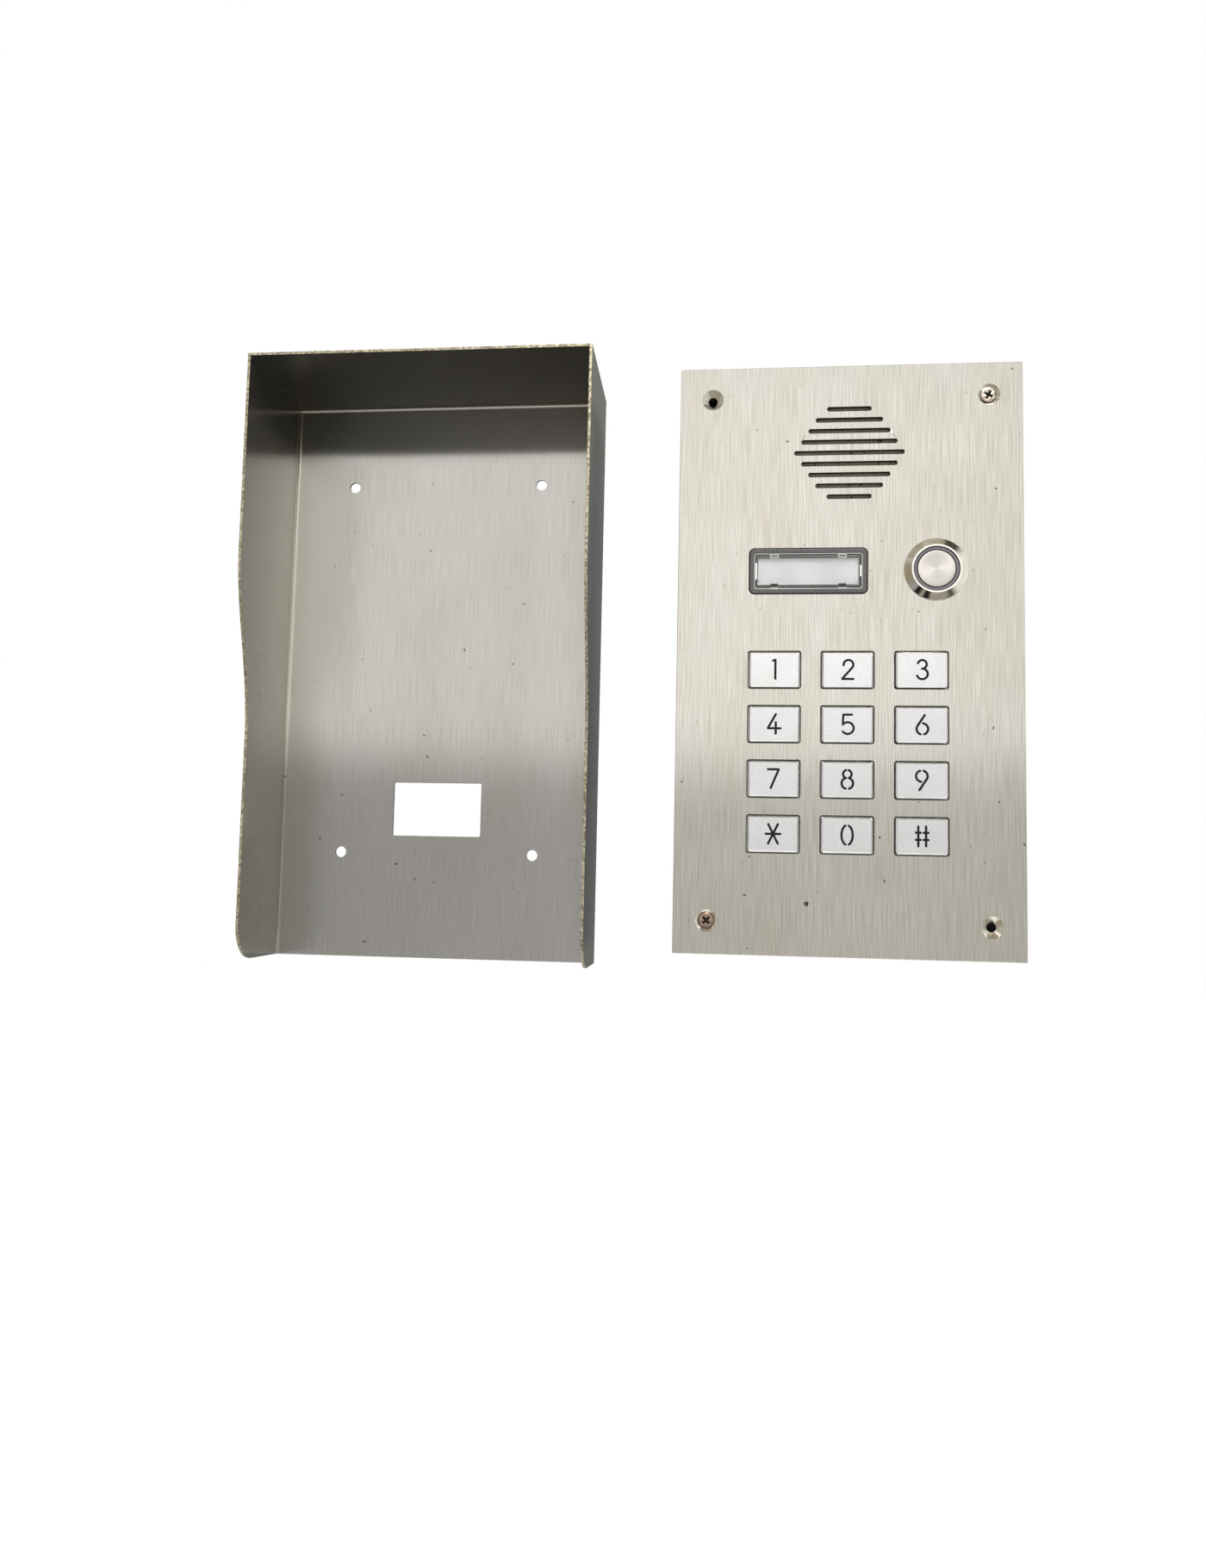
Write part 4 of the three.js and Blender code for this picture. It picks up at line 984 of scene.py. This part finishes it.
def make_screw(corner, shader, turn):
    node = "screw_" + corner
    low, high = (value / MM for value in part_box(node))
    x, _, z = (low + high) / 2
    head = (high.x - low.x) / 2
    top = low.y
    profile = [
        (0, top),
        (head - 0.25, top),
        (head - 0.06, top + 0.06),
        (head, top + 0.2),
        (SCREW_SHANK, top + 0.15 + head - SCREW_SHANK),
        (SCREW_SHANK, high.y - 0.8),
        (SCREW_SHANK / 2, high.y),
        (0, high.y),
    ]
    screw = turned(node + "_head", profile, x, z, 64)
    square = ((-1, -1), (1, -1), (1, 1), (-1, 1))
    for angle in (turn, turn + 90):
        along = Vector((math.cos(math.radians(angle)), 0, math.sin(math.radians(angle))))
        across = along.cross(FRONT)

        def tapered(u, v, end):
            y = (top - 0.5, top + RECESS_DEPTH)[end]
            length = (RECESS_ARM + 0.12, RECESS_ARM * 0.45)[end]
            half = (RECESS_WIDE + 0.05, RECESS_NARROW)[end]
            return Vector((x, y, z)) + along * length * u + across * half * v

        combine(screw, prism("recess", square, tapered))
    round_edges(screw, 0.05)
    smooth(screw, 30)
    dress(screw, shader, RECESS)
    # Faces of the cross recess get the dark recess colour: painted shade.
    for face in screw.data.polygons:
        out = (face.center - Vector((x, face.center.y / MM, z)) * MM).length
        if out < RECESS_REACH * MM and (top + 0.08) * MM < face.center.y < (top + 2) * MM:
            face.material_index = 1
    place_piece(screw, "panel_unit", "screw_steel", node)


make_screw("top_right", SCREW_METAL, 62)
make_screw("bottom_left", BROWNER_SCREW, 45)

# ---- Rain hood: one folded sheet with welded corners ----

HOOD_LOW, HOOD_HIGH = (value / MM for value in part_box("rain_hood"))
HOOD_MIDDLE = (HOOD_LOW + HOOD_HIGH) / 2
HOOD_WIDTH = HOOD_HIGH.x - HOOD_LOW.x
HOOD_HEIGHT = HOOD_HIGH.z - HOOD_LOW.z
HOOD_DEPTH = HOOD_HIGH.y - HOOD_LOW.y


def bezier(start, pull_start, pull_end, end, steps):
    points = []
    for step in range(steps + 1):
        t = step / steps
        weights = ((1 - t) ** 3, 3 * t * (1 - t) ** 2, 3 * t * t * (1 - t), t**3)
        corners = (start, pull_start, pull_end, end)
        points.append(tuple(sum(w * c[axis] for w, c in zip(weights, corners)) for axis in (0, 1)))
    return points


def hood_side():
    """Outline of the side walls as (y, height above the hood's foot)."""
    bend = arc(-HOOD_BEND, HOOD_HEIGHT - HOOD_BEND, HOOD_BEND, 0, 90, 8)
    step = bezier(
        (-HOOD_DEPTH, HOOD_STEP_TOP),
        (-HOOD_DEPTH + 0.3, HOOD_STEP_TOP - HOOD_STEP_PULL),
        (-HOOD_LOW_DEPTH - 0.2, HOOD_STEP_BOTTOM + HOOD_STEP_PULL + 2),
        (-HOOD_LOW_DEPTH, HOOD_STEP_BOTTOM),
        40,
    )
    foot = arc(-HOOD_LOW_DEPTH + HOOD_FOOT_CORNER, HOOD_FOOT_CORNER, HOOD_FOOT_CORNER, 180, 270, 20)
    return [(0, 0), *bend, (-HOOD_DEPTH, HOOD_HEIGHT), *step, *foot]


def hood_hollow(inset, reach):
    """What the sheet encloses, seen from the side."""
    bend = arc(-HOOD_BEND, HOOD_HEIGHT - HOOD_BEND, HOOD_BEND - inset, 0, 90, 8)
    mouth = -HOOD_DEPTH - reach
    return [(-inset, -reach), *bend, (mouth, HOOD_HEIGHT - inset), (mouth, -reach)]


def hood_plan(inset, reach):
    """Outline seen from above, with rounded folds at the back."""
    half = HOOD_WIDTH / 2 - inset
    right = arc(HOOD_WIDTH / 2 - HOOD_BEND, -HOOD_BEND, HOOD_BEND - inset, 0, 90, 8)
    left = [(-x, y) for x, y in reversed(right)]
    return [(-half, -HOOD_DEPTH - reach), (half, -HOOD_DEPTH - reach), *right, *left]


def make_hood():
    foot = HOOD_LOW.z
    middle = HOOD_MIDDLE.x

    def across(half):
        return lambda y, height, end: (middle + (half if end else -half), y, foot + height)

    def upright(low, high):
        return lambda x, y, end: (middle + x, y, foot + (high if end else low))

    def through_back(x, z, end):
        return (x, HOOD_DRILL[end], z)

    hood = prism("hood_shell", hood_side(), across(HOOD_WIDTH / 2 + 1))
    combine(hood, prism("plan", hood_plan(0, 1), upright(-1, HOOD_HEIGHT + 1)), "INTERSECT")
    inside = prism("inside", hood_hollow(HOOD_SHEET, 2), across(HOOD_WIDTH / 2))
    combine(inside, prism("room", hood_plan(HOOD_SHEET, 3), upright(-3, HOOD_HEIGHT + 1)), "INTERSECT")
    combine(hood, inside)
    for side in (-1, 1):
        for level in (-1, 1):
            x = middle + side * HOOD_HOLES[0] / 2
            z = foot + HOOD_HOLES_HEIGHT + level * HOOD_HOLES[1] / 2
            combine(hood, prism("drill", circle(x, z, HOOD_HOLE_RADIUS, 40), through_back))
    cut = rectangle(middle, foot + HOOD_CUT_OUT_HEIGHT, *HOOD_CUT_OUT, HOOD_CUT_OUT_CORNER, 4)
    combine(hood, prism("cut_out", cut, through_back))
    round_edges(hood, 0.1, 2, 40)
    mark_cut_edges(hood)
    smooth(hood, 30)
    place_piece(hood, "hood", "brushed_steel", "rain_hood")


def mark_cut_edges(hood):
    """Gives the sheared front rim and foot the raw edge, and the holes and the cut-out dark walls."""
    dress(hood, HOOD_STEEL, RAW_EDGE, CUT_WALL)
    top = HOOD_HIGH.z * MM
    foot = HOOD_LOW.z * MM
    for face in hood.data.polygons:
        normal, middle = face.normal, face.center
        on_wall = abs(normal.x) > 0.5 and middle.y < -(HOOD_SHEET + 0.2) * MM
        in_back = -(HOOD_SHEET - 0.05) * MM < middle.y < -0.05 * MM
        off_middle = abs(middle.x - HOOD_MIDDLE.x * MM)
        inner = off_middle < (HOOD_WIDTH / 2 - 4) * MM and foot + 3 * MM < middle.z < top - 4 * MM
        hole = in_back and inner and abs(normal.y) < 0.5
        roof = abs(normal.z) > 0.7 and middle.z > top - (HOOD_SHEET + 0.3) * MM
        rim = normal.y < -0.5 and middle.y < -(HOOD_BEND + 2) * MM
        under = normal.z < -0.5 and middle.z < foot + (HOOD_FOOT_CORNER + 1) * MM
        # The holes' and the cut-out's walls get the dark cut wall: partly laser-cut oxide, partly
        # painted shade.
        if hole:
            face.material_index = 2
        elif (rim or under) and not on_wall and not roof:
            face.material_index = 1


make_hood()

# ---- CAD nodes that stay as they are get their finish ----

for node_name, slot_name in node_slots().items():
    if not NODES[node_name].hide_render:
        dress(NODES[node_name], BY_SLOT[slot_name])

# ---- Stage, light and camera ----


def make_stage():
    """A pale round floor, in rings, far below the wall-hung unit."""
    bm = bmesh.new()
    rings = []
    for ring in range(1, FLOOR_RINGS + 1):
        outline = circle(0, 0, FLOOR_RADIUS * ring / FLOOR_RINGS, FLOOR_STEPS)
        rings.append([bm.verts.new((x, y, 0)) for x, y in outline])
    bm.faces.new(rings[0])
    for inner, outer in zip(rings, rings[1:]):
        for step in range(FLOOR_STEPS):
            after = (step + 1) % FLOOR_STEPS
            bm.faces.new((inner[step], inner[after], outer[after], outer[step]))
    mesh = bpy.data.meshes.new("floor")
    bm.to_mesh(mesh)
    bm.free()
    floor = bpy.data.objects.new("floor", mesh)
    bpy.context.scene.collection.objects.link(floor)
    floor.location.z = -FLOOR_DROP
    floor.visible_glossy = False
    pale = Shader("floor_pale", Roughness=0.9, Specular_IOR_Level=0.0)
    tone = pale.noise(pale.place, 1.2, 2.0)
    pale.set("Base Color", pale.mix(tone, (0.94, 0.94, 0.94, 1), (0.97, 0.97, 0.97, 1)))
    pale.set("Emission Color", (1, 1, 1, 1))
    pale.set("Emission Strength", 0.75)
    dress(floor, pale)


def soft_box(name, place, target, width, height, power, glossy=True):
    data = bpy.data.lights.new(name, "AREA")
    data.shape = "RECTANGLE"
    data.size = width
    data.size_y = height
    data.energy = power
    obj = bpy.data.objects.new(name, data)
    obj.location = place
    obj.rotation_euler = (Vector(target) - Vector(place)).to_track_quat("-Z", "Y").to_euler()
    obj.visible_glossy = glossy
    bpy.context.scene.collection.objects.link(obj)


def make_world():
    """The room that the steel mirrors. The camera itself sees plain white instead.

    Colours go by direction, shaped to the reflections in the photograph: bright in front, with a dark
    band and a small dark spot low down, and grey or dark behind."""
    world = bpy.data.worlds.new("room")
    bpy.context.scene.world = world
    world.use_nodes = True
    world.node_tree.nodes.clear()
    room = Nodes(world.node_tree)
    direction = room.node("ShaderNodeTexCoord").outputs["Generated"]
    x, y, z = room.split(direction)
    low = [
        (-1.0, (1.3, 1.3, 1.28)),
        (-0.92, (1.2, 1.2, 1.18)),
        (-0.87, (0.45, 0.42, 0.36)),
        (-0.45, (0.40, 0.38, 0.34)),
    ]
    high = [
        (0.6, (0.45, 0.42, 0.36)),
        (1.0, (0.33, 0.29, 0.22)),
    ]
    left = room.ramp(z, low + [
        (-0.35, (0.42, 0.425, 0.44)),
        (0.085, (0.42, 0.425, 0.44)),
        (0.115, (1.0, 1.0, 1.0)),
        (0.3, (1.0, 1.0, 1.0)),
        (0.5, (1.02, 1.02, 1.02)),
    ] + high)
    right = room.ramp(z, low + [
        (-0.35, (0.62, 0.61, 0.60)),
        (0.085, (0.79, 0.78, 0.77)),
        (0.115, (1.17, 1.17, 1.18)),
        (0.36, (1.19, 1.19, 1.20)),
        (0.5, (0.96, 0.96, 0.97)),
    ] + high)
    far_right = room.ramp(z, low + [
        (-0.35, (0.20, 0.21, 0.22)),
        (0.02, (0.18, 0.19, 0.20)),
        (0.25, (0.78, 0.79, 0.81)),
        (0.5, (1.12, 1.12, 1.12)),
    ] + high)
    front = room.mix(room.spread(x, -0.2, 0.0), left, right)
    front = room.mix(room.spread(x, 0.31, 0.37), front, far_right)
    across = room.ramp(x, [
        (-1.0, (0.45, 0.44, 0.42)),
        (-0.7, (0.9, 0.9, 0.89)),
        (-0.36, (1.15, 1.15, 1.15)),
        (-0.2, (1.0, 1.0, 1.0)),
        (0.0, (0.94, 0.94, 0.94)),
        (0.14, (1.03, 1.03, 1.03)),
        (0.31, (1.24, 1.24, 1.24)),
        (0.40, (0.2, 0.2, 0.2)),
        (1.0, (0.35, 0.35, 0.35)),
    ])
    front = room.mix(room.spread(z, -0.55, -0.45, curve="LINEAR"), front, across, "MULTIPLY")
    back = room.ramp(z, [
        (-1.0, (0.95, 0.95, 0.94)),
        (-0.6, (0.75, 0.75, 0.75)),
        (-0.3, (0.11, 0.115, 0.125)),
        (0.1, (0.08, 0.082, 0.09)),
        (0.32, (0.13, 0.135, 0.145)),
        (1.0, (0.33, 0.29, 0.22)),
    ])
    back = room.mix(room.spread(x, 0.02, -0.06, curve="LINEAR"), back, (0.72, 0.73, 0.74, 1))
    colour = room.mix(room.spread(y, 0.25, -0.15), back, front)
    sides = (
        (-0.5, -0.64, (0.36, 0.31, 0.23, 1)),
        (-0.8, -0.92, (0.74, 0.74, 0.73, 1)),
        (0.6, 0.74, (0.98, 1.0, 0.97, 1)),
    )
    for start, full, shade in sides:
        colour = room.mix(room.spread(x, start, full, curve="LINEAR"), colour, shade)

    def band(value, *stops):
        return room.ramp(value, list(zip(stops, ((0, 0, 0), (1, 1, 1), (1, 1, 1), (0, 0, 0)))))

    dark_band = room.product(band(z, -0.5, -0.465, -0.37, -0.35), band(x, -0.64, -0.5, 0.48, 0.6))
    colour = room.mix(dark_band, colour, (0.004, 0.005, 0.007, 1))
    toward = room.node("ShaderNodeVectorMath", operation="DOT_PRODUCT")
    room.feed(toward.inputs[0], direction)
    room.feed(toward.inputs[1], Vector(DARK_SPOT).normalized())
    limits = (math.cos(math.radians(angle)) for angle in DARK_SPOT_ANGLES)
    colour = room.mix(room.spread(toward.outputs["Value"], *limits), colour, (0.01, 0.01, 0.01, 1))
    seen = room.node("ShaderNodeLightPath").outputs["Is Camera Ray"]
    background = room.node("ShaderNodeBackground")
    room.feed(background.inputs["Color"], room.mix(seen, colour, (1, 1, 1, 1)))
    output = room.node("ShaderNodeOutputWorld")
    room.feed(output.inputs["Surface"], background.outputs["Background"])


def make_camera():
    data = bpy.data.cameras.new("camera")
    data.sensor_width = 36
    data.lens = CAMERA_LENS
    camera = bpy.data.objects.new("camera", data)
    camera.location = CAMERA_PLACE
    camera.rotation_euler = [math.radians(angle) for angle in CAMERA_TURN]
    bpy.context.scene.collection.objects.link(camera)
    bpy.context.scene.camera = camera


make_stage()
make_world()
make_camera()
soft_box("ceiling_light", (0.1, -0.9, 1.1), SET_MIDDLE, 0.5, 0.5, power=20)
soft_box("back_light", (0.2, 1.3, 0.7), SET_MIDDLE, 1.2, 1.0, power=14, glossy=False)
bpy.context.scene.view_settings.view_transform = "Standard"
